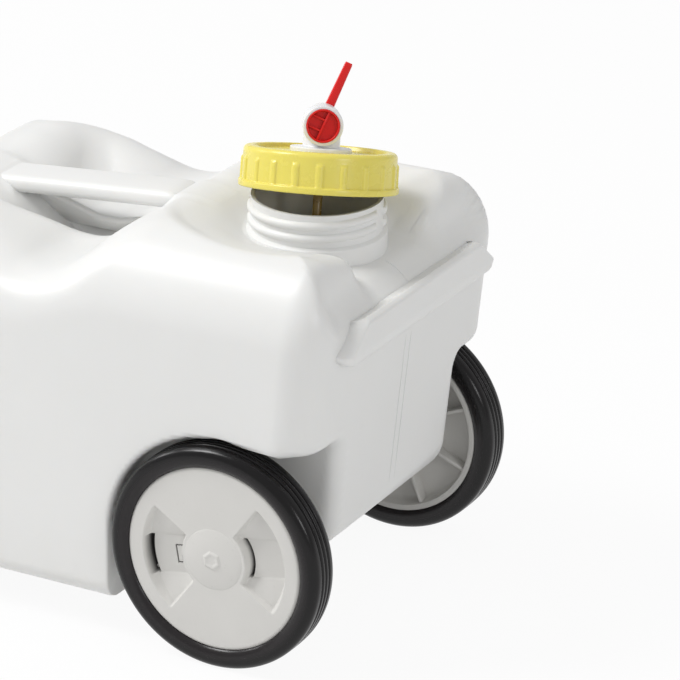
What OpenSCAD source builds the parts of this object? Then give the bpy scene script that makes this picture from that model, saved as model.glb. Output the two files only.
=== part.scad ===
// Wheeled water bowser: a blow-moulded tank on two wheels, with a screw cap that carries a tap.
// Millimetres, +Z up. The origin is on the ground under the middle of the tank, +X points to the wheel end
// and the axle runs along Y.

/* [Tank] */
// Overall length, rear wall to the face of the bumper ridge
tank_len = 495; // [480:1:530]
// Width across the tank's sides
tank_w = 276; // [268:1:282]
// Height of the front block's top above the ground
front_top = 294; // [288:1:304]
// Drop from the front block's top to the rear block's top
rear_drop = 20; // [12:1:28]
// Height of the tank's floor above the ground
floor_z = 26; // [20:1:32]
// Wall thickness of the moulding
wall = 3.2; // [2.4:0.1:4]
// Radius between the top and the sides
shoulder_r = 56; // [50:1:60]
// Radius of the upright corners at the wheel end
corner_r = 30; // [24:1:36]
// Radius of the upright corners at the rear end
rear_corner_r = 45; // [36:1:52]
// Radius round the floor
base_r = 14; // [10:1:18]
// Width of the narrow part between the wheels
waist_w = 176; // [168:1:180]

/* [End wall and ridge] */
// Distance from the axle to the ridge's face
axle_to_ridge = 85; // [83:1:90]
// How far the ridge stands out from the end wall
ridge_proud = 13.4; // [10:0.2:16]
// Height of the ridge from its underside to the back of its ledge
ridge_h = 35; // [30:1:40]
// Width of the ridge along its underside
ridge_w = 220; // [200:1:230]
// Depth of the ledge from its back to the ridge's face
ledge_d = 21; // [18:1:24]
// Drop from the front block's top to the back of the ledge
ledge_drop = 37; // [33:1:42]
// Width of the saddle between the neck and the ledge
saddle_w = 104; // [90:1:112]

/* [Scoops and grips] */
// Distance from the axle back to the bottom of the hand scoop
scoop_back = 142; // [136:1:150]
// Depth of the hand scoop below the front block's top
scoop_drop = 50; // [44:1:56]
// Slope of the scoop's front wall in degrees
scoop_front_a = 45; // [40:1:50]
// Slope of the scoop's rear wall in degrees
scoop_rear_a = 21; // [18:1:24]
// Width of the carrying handle
handle_w = 36; // [30:1:40]
// Thickness of the carrying handle
handle_t = 12.5; // [11.5:0.5:16]
// Depth of the finger pocket's floor below the scoop
pocket_d = 5; // [4:0.5:8]
// Width of the finger pocket's floor
pocket_w = 20; // [16:1:28]
// Thickness of the web that parts the pocket under the handle
web_w = 6; // [5:0.5:8]
// Height of the web above the pocket's floor
web_h = 12; // [9:0.5:14]
// Thickness of the tow grip's bar
grip_t = 26; // [22:1:28]
// Depth of the open bay at the rear end that the tow grip spans
bay_d = 116; // [108:1:124]
// Height of the bay's floor above the ground
bay_z = 165; // [155:1:172]

/* [Rear foot] */
// Length of the foot on the ground
foot_len = 48; // [40:1:60]
// Width of the foot
foot_w = 200; // [180:1:220]

/* [Neck] */
// Diameter over the thread beads
bead_d = 96; // [94:0.5:97]
// Outside diameter of the neck between the beads
neck_d = 91; // [90:0.5:93]
// Bore of the neck
neck_bore = 85; // [82:0.5:86]
// Height of the neck above the bowl
neck_h = 25.8; // [24:0.2:28]
// Pitch of the thread beads
bead_pitch = 8.9; // [8:0.1:9.4]
// Depth of the bowl that the neck stands in
bowl_depth = 22; // [18:1:25]
// Diameter of the bowl at its rim
bowl_d = 184; // [176:1:190]
// Diameter of the bowl's flat floor
bowl_floor_d = 116; // [114:1:124]

/* [Cap] */
// Diameter of the cap's bottom flange
cap_d = 110; // [109:0.5:113]
// Diameter of the cap's wall
cap_wall_d = 105.4; // [104.4:0.2:107]
// Bore of the cap, clear of the neck's beads
cap_bore = 99.2; // [98.8:0.1:100.4]
// Height of the cap
cap_h = 28; // [26:0.5:31]
// Depth of the recess in the cap's top
cap_recess = 3; // [2:0.2:4]
// Thickness of the cap's top plate
cap_plate = 3; // [2.4:0.2:4]
// Thickness of the seal in the cap
seal_t = 2; // [1.5:0.1:2.5]
// How far the cap is tipped open, in degrees
cap_tilt = 16.1; // [10:0.1:24]
// Heading of the cap's raised side in degrees
cap_heading = -73; // [-90:1:-60]
// Distance from the neck's axis to the line that the cap tips about
cap_pivot = 78; // [72:1:90]

/* [Tap] */
// Diameter of the tap's flange
tap_flange_d = 42.4; // [38:0.2:46]
// Thickness of the tap's flange
tap_flange_t = 2.5; // [2:0.1:3.5]
// Width of the tap's stem
stem_d = 25.5; // [23:0.5:27]
// Height of the barrel's axis above the flange
barrel_rise = 15.4; // [14.5:0.1:18]
// Outside diameter of the barrel
barrel_d = 27.5; // [26.5:0.1:30]
// Length of the barrel
barrel_len = 38; // [34:1:42]
// Diameter of the turning plug
plug_d = 23; // [21.4:0.1:23.4]
// Heading of the barrel's mouth in degrees
tap_heading = -61; // [-90:1:-30]
// Length of the lever from the barrel's axis
lever_len = 45; // [38:1:52]
// Width of the lever at its tip
lever_w = 5.2; // [4.5:0.1:6.5]
// Lean of the lever in degrees
lever_lean = 21; // [0:0.5:30]
// Diameter of the breather tube
tube_d = 6.4; // [5:0.1:7]
// Length of the breather tube below the tap
tube_len = 105; // [80:1:120]

/* [Wheels] */
// Diameter of the wheels
wheel_d = 161; // [156:1:164]
// Width of the tyres
tyre_w = 28; // [25:0.5:30]
// How far the tyres stand out past the tank's sides
wheel_proud = 7.5; // [6.5:0.5:10]
// Diameter of the rim under the tyre
rim_d = 130; // [126:1:134]
// Diameter of the axle
axle_d = 12; // [10:0.5:12.5]
// Room between the tyre and its arch
arch_gap = 7.6; // [6:0.2:9]
// Drop of the arch's lip towards the wheel end
lip_drop = 8; // [5:0.5:10]
// Diameter of the hub cap
hub_cap_d = 46; // [42:0.5:48]

/* [Hidden] */
$fn = 48;
over = 2;         // overrun of every cut
fit_gap = 0.05;   // between pieces that are pushed together
run_gap = 0.08;   // round a shaft that turns
seat_gap = 0.25;  // beside a piece that turns

// Tank, derived
rear_x = -tank_len / 2;
ridge_x = tank_len / 2;
axle_x = ridge_x - axle_to_ridge;
axle_z = wheel_d / 2;
track = tank_w + 2 * wheel_proud;
rear_top = front_top - rear_drop;
end_x = ridge_x - ridge_proud;
ledge_z = front_top - ledge_drop;
ridge_z = ledge_z - ridge_h;
end_ref_drop = 22;               // below the ridge, where the end wall stands at end_x
end_ref_z = ridge_z - end_ref_drop;
end_rake_share = 0.098;          // lean of the end wall, outward per rise
top_fall_start = 90;             // behind the axle, where the top starts to fall to the rear block
top_fall_len = 80;
ray_drop = 99;                   // from the front block's top to the line that the skin is measured from
ray_z = front_top - ray_drop;
ramp_back = 70;                  // behind the axle, where the floor starts to rise
ramp_share = 0.415;              // rise of the floor under the wheel end
arch_r = wheel_d / 2 + arch_gap;
lip_reach = 57;                  // ahead of the axle, where the arch's lip is lowest
lip_steps = 8;
scoop_r = 30;                    // round of the scoop's bottom
scoop_lip_r = 18;                // round of the scoop's edges
scoop_x = axle_x - scoop_back;
scoop_z = front_top - scoop_drop;
ledge_fall_share = 0.42;         // slope of the ledge
ledge_sink = 0.6;                // the lobes' feet lie this far below the ledge
saddle_start = 30;               // ahead of the neck
saddle_drop = 32;                // from the front block's top to the saddle's floor at its start
saddle_z = front_top - saddle_drop;
saddle_fall_share = 0.55;
ridge_end_share = 0.96;          // slant of the ridge's ends
ridge_nose = 3;                  // chamfer along the ridge's edges
bowl_rim_drop = 2;               // the bowl's wall meets the top this far below its height

// Grips, derived
handle_front = 72;               // from the scoop's bottom ahead to the handle's front end
handle_rear = 110;               // and back to its rear end
handle_drop = 6.8;               // from the front block's top to the handle's front end
handle_from = scoop_x + handle_front;
handle_to = scoop_x - handle_rear;
handle_top = front_top - handle_drop;
handle_fall_a = 5;               // slope of the handle in degrees
handle_r = 5.5;                  // round of the handle's edges
pocket_front = 10;               // from the scoop's bottom back to the front of the pocket's floor
pocket_rear = 66;                // and to its rear
pocket_from = scoop_x - pocket_front;
pocket_to = scoop_x - pocket_rear;
pocket_z = scoop_z - pocket_d;
pocket_side_share = 0.36;        // slope of the pocket's sides
web_reach = 18;                  // the web runs on past the pocket's floor
web_low = 32;                    // from the scoop's bottom back to where the web starts to rise
web_rise_share = 0.28;           // and the slope of its rise
grip_edge_r = 11;                // round of the tow grip's edges
grip_sink = 6;                   // the bar lies this far inside the tank's outline
grip_r = shoulder_r - grip_sink;
grip_w = handle_w;
grip_x = rear_x + shoulder_r;
grip_z = rear_top - shoulder_r;
bay_x = rear_x + bay_d;
bay_r = 40;                      // round between the bay's floor and its wall
foot_back = 24;                  // from the rear wall to the foot
foot_flare_share = 0.35;

// Neck and cap, derived
neck_x = axle_x;
bowl_z = front_top - bowl_depth;
neck_top = bowl_z + neck_h;
neck_root = wall + base_r;
bead_drop = 7.6;                 // from the neck's top to the upper bead
bead_z1 = neck_top - bead_drop;
bead_half = 1.6;                 // half the height of a bead at its crest
bead_slope = (bead_d - neck_d) / 2;
lip_r = 1.2;                     // round of the neck's rim
seal_gap = 0.1;                  // each side of the seal
plate_z = cap_h - cap_recess - cap_plate;
cap_z = neck_top + seal_t + 2 * seal_gap - plate_z;
cap_flange_h = 4.5;
cap_edge_r = 6.5;
cap_rim = 7;                     // width of the raised rim round the recess
rib_n = 20;
rib_w = 4.4;
rib_proud = 0.9;
rib_drop = 1.5;                  // the ribs end this far below the rounded edge
rib_len = cap_h - cap_flange_h - cap_edge_r - rib_drop;
front_dir = [cos(cap_heading), sin(cap_heading), 0];
cap_pole = [neck_x, 0, cap_z] - cap_pivot * front_dir;

// Tap, derived
gasket_t = 1.5;
flange_z = plate_z + cap_plate + gasket_t;
barrel_z = flange_z + tap_flange_t + barrel_rise;
shank_d = 18;
shank_len = 14;                  // below the cap's plate
shank_z = plate_z - shank_len;
stem_bore = 12;
plug_bore = 17.6;
plug_wall = 3;                   // closed end of the plug
plug_proud = 0.8;                // the plug's mouth stands out of the barrel
plug_rib = 1.2;
collar_t = 5;
nut_t = 5;
nut_d = 34;
oring_d = 2;
oring_place_share = 0.34;        // of the barrel's length, from its middle
lever_root_share = 1.3;          // width at the barrel, of the width at the tip
lever_d = 7;                     // depth of the lever along the barrel
lever_tip = 2.4;                 // chamfer on the lever's tip
tube_bore = 4;
holder_t = 4;                    // disc in the shank that holds the tube
holder_hole = 2.2;
holder_n = 6;

// Wheels, derived
tyre_r = wheel_d / 2;
rim_r = rim_d / 2;
seat_step = 1.5;                 // the tyre's seat stands out of the rim's edge
seat_r = rim_r + seat_step;
tyre_shoulder = 8;
groove_d = 1.6;
groove_w = 1.8;
groove_n = 3;
rim_set = 2;                     // the rim's edge lies this far inside the tyre's face
rim_wall = 3.5;
face_set = 1.2;                  // and the wheel's face this far inside the rim's edge
face_z = rim_set + face_set;
web_t = 12;
sector_in = 25;
sector_out = 55;
sector_a = 87;                   // angle of each recessed sector
sector_heading = -10;            // and its heading in degrees
sector_d = 8;
band_w = 28;                     // the flat floor across each sector, with a ramp up from either side
ramp_d = 1;
slot_w = 3.4;
slot_relief = 2;                 // the slots reach this far into the ribs behind the web
hub_d = 28;
hub_pocket = 13;                 // from the tyre's face to the end of the hub
washer_t = 2;
hub_in = track / 2 - waist_w / 2 - washer_t - 2 * seat_gap;
axle_end = 8;                    // from the tyre's face to the axle's end
washer_d = 26;
retainer_t = 1.2;
retainer_d = 22;
rib_count = 8;
web_rib = 2.6;
web_rib_drop = 2;                // the ribs end this far short of the rim's inner edge
hub_cap_skirt = 2.2;
hub_cap_dome = 2.6;
hub_boss_d = 9;
hub_boss_h = 0.8;

function arc(c, r, a0, a1, n = 8) = [for (i = [0:n]) let (a = a0 + (a1 - a0) * i / n)
    c + r * [cos(a), sin(a)]];
function smoothed(t) = let (s = max(0, min(1, t))) s * s * (3 - 2 * s);

// The round that joins two faces: a and b are the distances outside each face, r the radius
function meet(a, b, r) = min(max(a, b), -r) + norm([max(a + r, 0), max(b + r, 0)]);
function end_at(z) = end_x + end_rake_share * (z - end_ref_z);
function top_at(x) = front_top
    + (rear_top - front_top) * smoothed((axle_x - top_fall_start - x) / top_fall_len);
function ramp_at(x) = floor_z + ramp_share * (x - axle_x + ramp_back);
function lip_at(x) = axle_z + arch_r - lip_drop * smoothed((x - axle_x) / lip_reach);
function ledge_at(x) = ledge_z - ledge_fall_share * (x - ridge_x + ledge_d);

// How far a point lies outside the tank's rounded body, with each face moved in by t
function scoop_gap(x, z, t) = meet(
    sin(scoop_front_a) * (x - scoop_x) - cos(scoop_front_a) * (z - scoop_z) - t,
    -sin(scoop_rear_a) * (x - scoop_x) - cos(scoop_rear_a) * (z - scoop_z) - t, scoop_r);
function body_gap(p, t) = let (
    walls = meet(meet(abs(p.y) - tank_w / 2 + t, p.x - end_at(p.z) + t, corner_r - t),
        rear_x + t - p.x, rear_corner_r - t),
    block = meet(walls, p.z - top_at(p.x) + t, shoulder_r - t),
    base = max(floor_z + t - p.z, (ramp_at(p.x) + t - p.z) / norm([1, ramp_share])))
    meet(meet(block, -scoop_gap(p.x, p.z, t), scoop_lip_r), base, base_r - t);
function reach(o, d, t, a, b, n) = n == 0 ? o + d * (a + b) / 2 :
    let (m = (a + b) / 2)
    body_gap(o + d * m, t) < 0 ? reach(o, d, t, m, b, n - 1) : reach(o, d, t, a, m, n - 1);

// The rounded body as one skin: rings of rays from a line along the tank, closed by a fan at each end
module body_form(t) {
    near_x = axle_x + nose_inset;
    far_x = rear_x + tail_inset;
    stations = concat([for (s = behind_shares) far_x + s * (scoop_x - far_x)],
        [for (s = ahead_shares) scoop_x + s * (near_x - scoop_x)]);
    turns = concat(half_shares, [for (i = [len(half_shares) - 2:-1:1]) 2 - half_shares[i]]);
    function ray(x, f, a) = reach([x, 0, ray_z], [sin(f), cos(f) * cos(a), cos(f) * sin(a)], t, 0, tank_len,
        ray_steps);
    function ring_at(x, f) = [for (s = turns) ray(x, 90 * f, 90 * s)];
    rings = concat([for (i = [len(tail_shares) - 1:-1:0]) ring_at(far_x, -tail_shares[i])],
        [for (x = stations) ring_at(x, 0)], [for (f = nose_shares) ring_at(near_x, f)]);
    n = len(turns);
    last = len(rings) - 1;
    count = n * len(rings);
    band = [for (i = [0:last - 1], j = [0:n - 1]) let (
        a = i * n + j, b = i * n + (j + 1) % n, c = a + n, d = b + n) each [[a, c, b], [b, c, d]]];
    tail = [for (j = [0:n - 1]) [count, j, (j + 1) % n]];
    nose = [for (j = [0:n - 1]) [count + 1, last * n + (j + 1) % n, last * n + j]];
    polyhedron(concat([for (r = rings) each r], [ray(far_x, -90, 0), ray(near_x, 90, 0)]),
        concat(band, tail, nose));
}
nose_inset = 10;   // where the fans start, ahead of the axle
tail_inset = 80;   // and ahead of the rear wall
ray_steps = 16;
// Rays round a ring, as shares of a quarter turn from straight down to straight up
half_shares = [-1, -0.8, -0.66, -0.597, -0.575, -0.55, -0.537, -0.48, -0.36, -0.24, -0.12,
    0, 0.12, 0.2, 0.27, 0.34, 0.41, 0.48, 0.55, 0.64, 0.76, 0.88, 1];
// Rings behind and ahead of the hand scoop, and the fans' rays as shares of a quarter turn
behind_shares = [0, 0.25, 0.46, 0.62, 0.75, 0.85, 0.93, 1];
ahead_shares = [0.06, 0.12, 0.18, 0.24, 0.3, 0.36, 0.42, 0.5, 0.62, 0.8, 1];
nose_shares = [0.1, 0.165, 0.21, 0.255, 0.3, 0.345, 0.44, 0.6, 0.8];
tail_shares = [0.09, 0.155, 0.21, 0.237, 0.26, 0.281, 0.303, 0.37, 0.45, 0.56, 0.7, 0.86];

// An outline in X and Z carried across the tank's width
module across(w) {
    translate([0, w / 2, 0]) rotate([90, 0, 0]) linear_extrude(w) children();
}

// The wheel's arch beside the narrow part: round the tyre behind, open towards the wheel end
module arches(t) {
    depth = (tank_w - waist_w) / 2 + t + over;
    far_x = ridge_x + over;
    outline = concat(
        [for (i = [0:lip_steps]) let (x = axle_x + lip_reach * i / lip_steps) [x, lip_at(x) + t]],
        [[far_x, lip_at(far_x) + t], [far_x, -over], [axle_x - arch_r - t, -over],
        [axle_x - arch_r - t, axle_z], [axle_x, axle_z]]);
    for (s = [-1, 1]) translate([0, s * (waist_w / 2 - t + depth / 2), 0]) across(depth) {
        polygon(outline);
        translate([axle_x, axle_z]) circle(arch_r + t);
    }
}

// The bowl that the neck stands in, and the saddle and ledge in front of it
module top_cuts(t) {
    rim_z = front_top - bowl_rim_drop;
    high = front_top + over;
    translate([neck_x, 0, 0]) rotate_extrude() polygon([[0, bowl_z - t], [bowl_floor_d / 2, bowl_z - t],
        [bowl_d / 2 + t, rim_z], [bowl_d / 2 + t, high], [0, high]]);
    back_x = ridge_x - ledge_d - t;
    face_x = ridge_x + over;
    across(ridge_w + 2 * t) polygon([[back_x, ledge_at(back_x) - ledge_sink - t],
        [face_x, ledge_at(face_x) - ledge_sink - t], [face_x, high], [back_x, high]]);
    start_x = neck_x + saddle_start - t;
    saddle_end = back_x + over;
    across(saddle_w + 2 * t) polygon([[start_x, saddle_z - t],
        [saddle_end, saddle_z - saddle_fall_share * (saddle_end - start_x) - t], [saddle_end, high],
        [start_x, high]]);
}

// The finger pocket under the handle, and the open bay under the tow grip
module grip_cuts(t) {
    z = pocket_z - t;
    high = front_top + over;
    rise = high - z;
    half = pocket_w / 2 + t;
    wide = half + rise / pocket_side_share;
    from = pocket_from + t;
    to = pocket_to - t;
    intersection() {
        translate([to - rise, 0, 0]) rotate([90, 0, 90]) linear_extrude(from - to + 2 * rise)
            polygon([[-half, z], [half, z], [wide, high], [-wide, high]]);
        across(tank_w + over) polygon([[to, z], [from, z], [from + rise, high], [to - rise, high]]);
    }
    back = rear_x - over;
    across(tank_w + over) polygon(concat([[back, high], [back, bay_z - t]],
        arc([bay_x - bay_r, bay_z + bay_r], bay_r + t, -90, 0), [[bay_x + t, high]]));
}

// The foot under the rear end
module foot(t) {
    low = t;
    from = rear_x + foot_back + t;
    to = from + foot_len - 2 * t;
    rise = floor_z + base_r;
    flare = foot_flare_share * rise;
    across(foot_w - 2 * t) polygon([[from, low], [to, low], [to + flare, rise], [from - flare / 2, rise]]);
}

module tank_form(t) {
    difference() {
        body_form(t);
        arches(t);
        top_cuts(t);
        grip_cuts(t);
    }
    foot(t);
}

// The bumper ridge across the end wall, with slanted ends
module ridge() {
    root_x = ridge_x - ledge_d - wall;
    tall = ridge_h + over;
    half = ridge_w / 2;
    intersection() {
        across(ridge_w) polygon([[root_x, ledge_at(root_x)],
            [ridge_x - ridge_nose, ledge_at(ridge_x - ridge_nose)],
            [ridge_x, ledge_at(ridge_x) - ridge_nose], [ridge_x, ridge_z + ridge_nose],
            [ridge_x - ridge_nose, ridge_z], [root_x, ridge_z]]);
        translate([root_x, 0, ridge_z]) rotate([90, 0, 90]) linear_extrude(ridge_x - root_x)
            polygon([[-half, 0], [half, 0], [half - ridge_end_share * tall, tall],
                [-half + ridge_end_share * tall, tall]]);
    }
}

// A bar's section: a rectangle with round corners
module bar_section(w, t, r) {
    polygon(concat(arc([w / 2 - r, t / 2 - r], r, 0, 90), arc([r - w / 2, t / 2 - r], r, 90, 180),
        arc([r - w / 2, r - t / 2], r, 180, 270), arc([w / 2 - r, r - t / 2], r, 270, 360)));
}

module handle() {
    run = (handle_from - handle_to) / cos(handle_fall_a);
    translate([handle_from, 0, handle_top - handle_t / 2]) rotate([0, -90 - handle_fall_a, 0])
        rotate([0, 0, 90]) linear_extrude(run) bar_section(handle_w, handle_t, handle_r);
}

// The upright web in the middle of the finger pocket
module pocket_web() {
    from = pocket_from + web_reach;
    to = pocket_to - web_reach;
    bend = scoop_x - web_low;
    top = pocket_z + web_h;
    across(web_w) polygon([[to, pocket_z - over], [from, pocket_z - over], [from, top], [bend, top],
        [to, top + web_rise_share * (bend - to)]]);
}

// The tow grip follows the tank's own round corner
module tow_grip() {
    mid_r = grip_r - grip_t / 2;
    translate([grip_x, 0, grip_z]) rotate([90, 0, 0]) {
        rotate_extrude(angle = 90, start = 90) translate([mid_r, 0]) rotate(90)
            bar_section(grip_w, grip_t, grip_edge_r);
        translate([0, mid_r, 0]) rotate([0, 90, 0]) linear_extrude(bay_x - grip_x + wall)
            bar_section(grip_w, grip_t, grip_edge_r);
        translate([-mid_r, 0, 0]) rotate([90, 0, 0]) linear_extrude(grip_z - bay_z + wall)
            bar_section(grip_t, grip_w, grip_edge_r);
    }
}

// The neck with its two thread beads
module neck() {
    bead = function(z) [[neck_d / 2, z - bead_half - bead_slope], [bead_d / 2, z - bead_half],
        [bead_d / 2, z + bead_half], [neck_d / 2, z + bead_half + bead_slope]];
    translate([neck_x, 0, 0]) rotate_extrude() polygon(concat([[0, bowl_z - neck_root],
        [neck_d / 2, bowl_z - neck_root]], bead(bead_z1 - bead_pitch), bead(bead_z1),
        arc([neck_d / 2 - lip_r, neck_top - lip_r], lip_r, 0, 90, 4), [[0, neck_top]]));
}

module tank() {
    tunnel_r = axle_d / 2 + seat_gap;
    color("whitesmoke") difference() {
        union() {
            tank_form(0);
            ridge();
            handle();
            pocket_web();
            tow_grip();
            neck();
        }
        difference() {
            tank_form(wall);
            translate([axle_x, 0, axle_z]) rotate([90, 0, 0])
                cylinder(waist_w, r = tunnel_r + wall, center = true);
        }
        translate([neck_x, 0, bowl_z - neck_root - over])
            cylinder(neck_h + neck_root + 2 * over, d = neck_bore);
        translate([axle_x, 0, axle_z]) rotate([90, 0, 0]) cylinder(tank_w, r = tunnel_r, center = true);
    }
}

// A wheel's own frame: Z runs in along the axle from the tyre's outer face
module at_wheel(side) {
    mirror([0, side > 0 ? 1 : 0, 0]) translate([axle_x, -track / 2, axle_z]) rotate([-90, 0, 0]) children();
}

module axle() {
    color("silver") translate([axle_x, 0, axle_z]) rotate([90, 0, 0])
        cylinder(track - 2 * axle_end, d = axle_d, center = true);
}

module washer(side) {
    color("gainsboro") at_wheel(side) translate([0, 0, hub_in + seat_gap]) difference() {
        cylinder(washer_t, d = washer_d);
        translate([0, 0, -over]) cylinder(washer_t + 2 * over, d = axle_d + 2 * seat_gap);
    }
}

module retainer(side) {
    color("dimgray") at_wheel(side) translate([0, 0, hub_pocket - seat_gap - retainer_t]) difference() {
        cylinder(retainer_t, d = retainer_d);
        translate([0, 0, -over]) cylinder(retainer_t + 2 * over, d = axle_d + 2 * fit_gap);
    }
}

// Half of a ring between two radii, over an angle centred on the outline's own X
module sector(r0, r1, a, h) {
    rotate([0, 0, -a / 2]) rotate_extrude(angle = a) translate([r0, 0]) square([r1 - r0, h]);
}

// A recess in the wheel's face, with a latch slot through the web at either end of its floor
module wheel_recess() {
    floor_z = face_z + sector_d;
    intersection() {
        translate([0, 0, face_z - over]) sector(sector_in, sector_out, sector_a, sector_d + 2 * over);
        rotate([90, 0, 90]) linear_extrude(sector_out + over) polygon([[-band_w / 2, floor_z],
            [band_w / 2, floor_z], [sector_out, face_z + ramp_d], [sector_out, face_z - 2 * over],
            [-sector_out, face_z - 2 * over], [-sector_out, face_z + ramp_d]]);
    }
    for (r = [sector_in, sector_out - slot_w]) translate([0, 0, floor_z - over])
        sector(r, r + slot_w, 2 * asin(band_w / 2 / (r + slot_w)),
            web_t - sector_d + slot_relief + over);
}

module rim(side) {
    rim_in = tyre_w - rim_set;
    back_z = face_z + web_t;
    edge_r = rim_r - 2 * rim_wall;
    color("lightgray") at_wheel(side) difference() {
        union() {
            rotate_extrude() polygon([[axle_d / 2, hub_pocket], [hub_d / 2, hub_pocket], [hub_d / 2, back_z],
                [rim_r - rim_wall, back_z], [rim_r - rim_wall, rim_in], [seat_r, rim_in], [seat_r, rim_set],
                [edge_r, rim_set], [edge_r - face_set, face_z], [hub_cap_d / 2, face_z],
                [hub_cap_d / 2, hub_pocket - over], [axle_d / 2, hub_pocket - over]]);
            translate([0, 0, hub_pocket]) cylinder(hub_in - hub_pocket, d = hub_d);
            for (i = [0:rib_count - 1]) rotate([0, 0, 360 * (i + 0.5) / rib_count])
                translate([hub_d / 2 - over, -web_rib / 2, back_z - over])
                    cube([rim_r - rim_wall - hub_d / 2 + 2 * over, web_rib,
                        rim_in - web_rib_drop - back_z + over]);
        }
        for (a = [0, 180]) rotate([0, 0, a + sector_heading]) wheel_recess();
        translate([0, 0, -over]) cylinder(hub_pocket + over, d = hub_cap_d);
        cylinder(hub_in + over, d = axle_d + 2 * run_gap);
    }
}

module tyre(side) {
    w = tyre_w;
    s = tyre_shoulder;
    groove = function(z) [[tyre_r, z - groove_w / 2], [tyre_r - groove_d, z], [tyre_r, z + groove_w / 2]];
    pitch = (w - 2 * s) / groove_n;
    tread = [for (i = [0:groove_n - 1]) each groove(s + pitch * (i + 0.5))];
    color("darkslategray") at_wheel(side) rotate_extrude() polygon(concat(
        [[rim_r, 0], [rim_r, rim_set - fit_gap], [seat_r + fit_gap, rim_set - fit_gap],
        [seat_r + fit_gap, w - rim_set + fit_gap], [rim_r, w - rim_set + fit_gap], [rim_r, w]],
        arc([tyre_r - s, w - s], s, 90, 0), [for (i = [len(tread) - 1:-1:0]) tread[i]],
        arc([tyre_r - s, s], s, 0, -90)));
}

module hub_cap(side) {
    r = hub_cap_d / 2 - fit_gap;
    dome_r = (pow(r, 2) + pow(hub_cap_dome, 2)) / (2 * hub_cap_dome);
    dome_a = asin(r / dome_r);
    top_z = face_z - hub_cap_dome;
    color("lightgray") at_wheel(side) {
        rotate_extrude() polygon(concat(
            [for (p = arc([0, top_z + dome_r], dome_r, 270, 270 + dome_a)) p],
            [[r, hub_pocket], [r - hub_cap_skirt, hub_pocket], [r - hub_cap_skirt, face_z + hub_cap_skirt],
            [0, face_z + hub_cap_skirt]]));
        translate([0, 0, top_z - hub_boss_h]) cylinder(hub_boss_h + hub_cap_skirt, d = hub_boss_d, $fn = 6);
    }
}

// The cap's own frame: Z runs up from the cap's lower edge, and it is tipped about a line behind the neck
module at_cap() {
    translate(cap_pole) rotate(a = cap_tilt, v = cross(front_dir, [0, 0, 1]))
        translate([neck_x, 0, cap_z] - cap_pole) children();
}

module filler_cap() {
    top_r = cap_wall_d / 2 - cap_rim;
    color("khaki") at_cap() difference() {
        union() {
            rotate_extrude() polygon(concat([[0, 0], [cap_d / 2, 0], [cap_d / 2, cap_flange_h],
                [cap_wall_d / 2, cap_flange_h]],
                arc([cap_wall_d / 2 - cap_edge_r, cap_h - cap_edge_r], cap_edge_r, 0, 90), [[0, cap_h]]));
            for (i = [0:rib_n - 1]) rotate([0, 0, 360 * i / rib_n])
                translate([cap_wall_d / 2 - rib_w / 2 + rib_proud, 0, cap_flange_h - fit_gap])
                    cylinder(rib_len, d = rib_w);
        }
        translate([0, 0, -over]) cylinder(plate_z + over, d = cap_bore);
        translate([0, 0, cap_h - cap_recess]) cylinder(cap_recess + over, r = top_r);
        cylinder(cap_h + over, d = shank_d + 4 * fit_gap);
    }
}

module ring(d_out, d_in, z, h) {
    translate([0, 0, z]) difference() {
        cylinder(h, d = d_out);
        translate([0, 0, -over]) cylinder(h + 2 * over, d = d_in);
    }
}

module cap_seal() {
    color("dimgray") at_cap()
        ring(cap_bore - 2 * seat_gap, neck_bore + wall, plate_z - seal_gap - seal_t, seal_t);
}

module tap_gasket() {
    color("dimgray") at_cap() ring(tap_flange_d - wall, shank_d + 4 * fit_gap, plate_z + cap_plate, gasket_t);
}

module tap_nut() {
    color("white") at_cap() translate([0, 0, plate_z - nut_t]) difference() {
        cylinder(nut_t, d = nut_d, $fn = 6);
        translate([0, 0, -over]) cylinder(nut_t + 2 * over, d = shank_d + 2 * fit_gap);
    }
}

// The barrel's own frame: Z runs out of its mouth, X is up when the lever stands straight
module at_barrel() {
    at_cap() translate([0, 0, barrel_z]) rotate([0, 0, tap_heading]) rotate([0, 90, 0]) rotate([0, 0, 180])
        children();
}

module tap_body() {
    color("white") {
        difference() {
            union() {
                at_cap() {
                    translate([0, 0, shank_z]) cylinder(barrel_z - shank_z, d = shank_d);
                    translate([0, 0, flange_z]) cylinder(tap_flange_t, d = tap_flange_d);
                    translate([0, 0, flange_z]) cylinder(barrel_z - flange_z, d = stem_d);
                }
                at_barrel() cylinder(barrel_len, d = barrel_d, center = true);
            }
            at_barrel() cylinder(barrel_len + over, d = plug_d + 2 * run_gap, center = true);
            at_cap() {
                translate([0, 0, shank_z + holder_t]) cylinder(barrel_z - shank_z - holder_t, d = stem_bore);
                translate([0, 0, shank_z - over]) cylinder(holder_t + 2 * over, d = tube_d + 2 * fit_gap);
                for (i = [0:holder_n - 1]) rotate([0, 0, 360 * i / holder_n])
                    translate([(tube_d + stem_bore) / 4, 0, shank_z - over])
                        cylinder(holder_t + 2 * over, d = holder_hole);
            }
        }
    }
}

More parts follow.
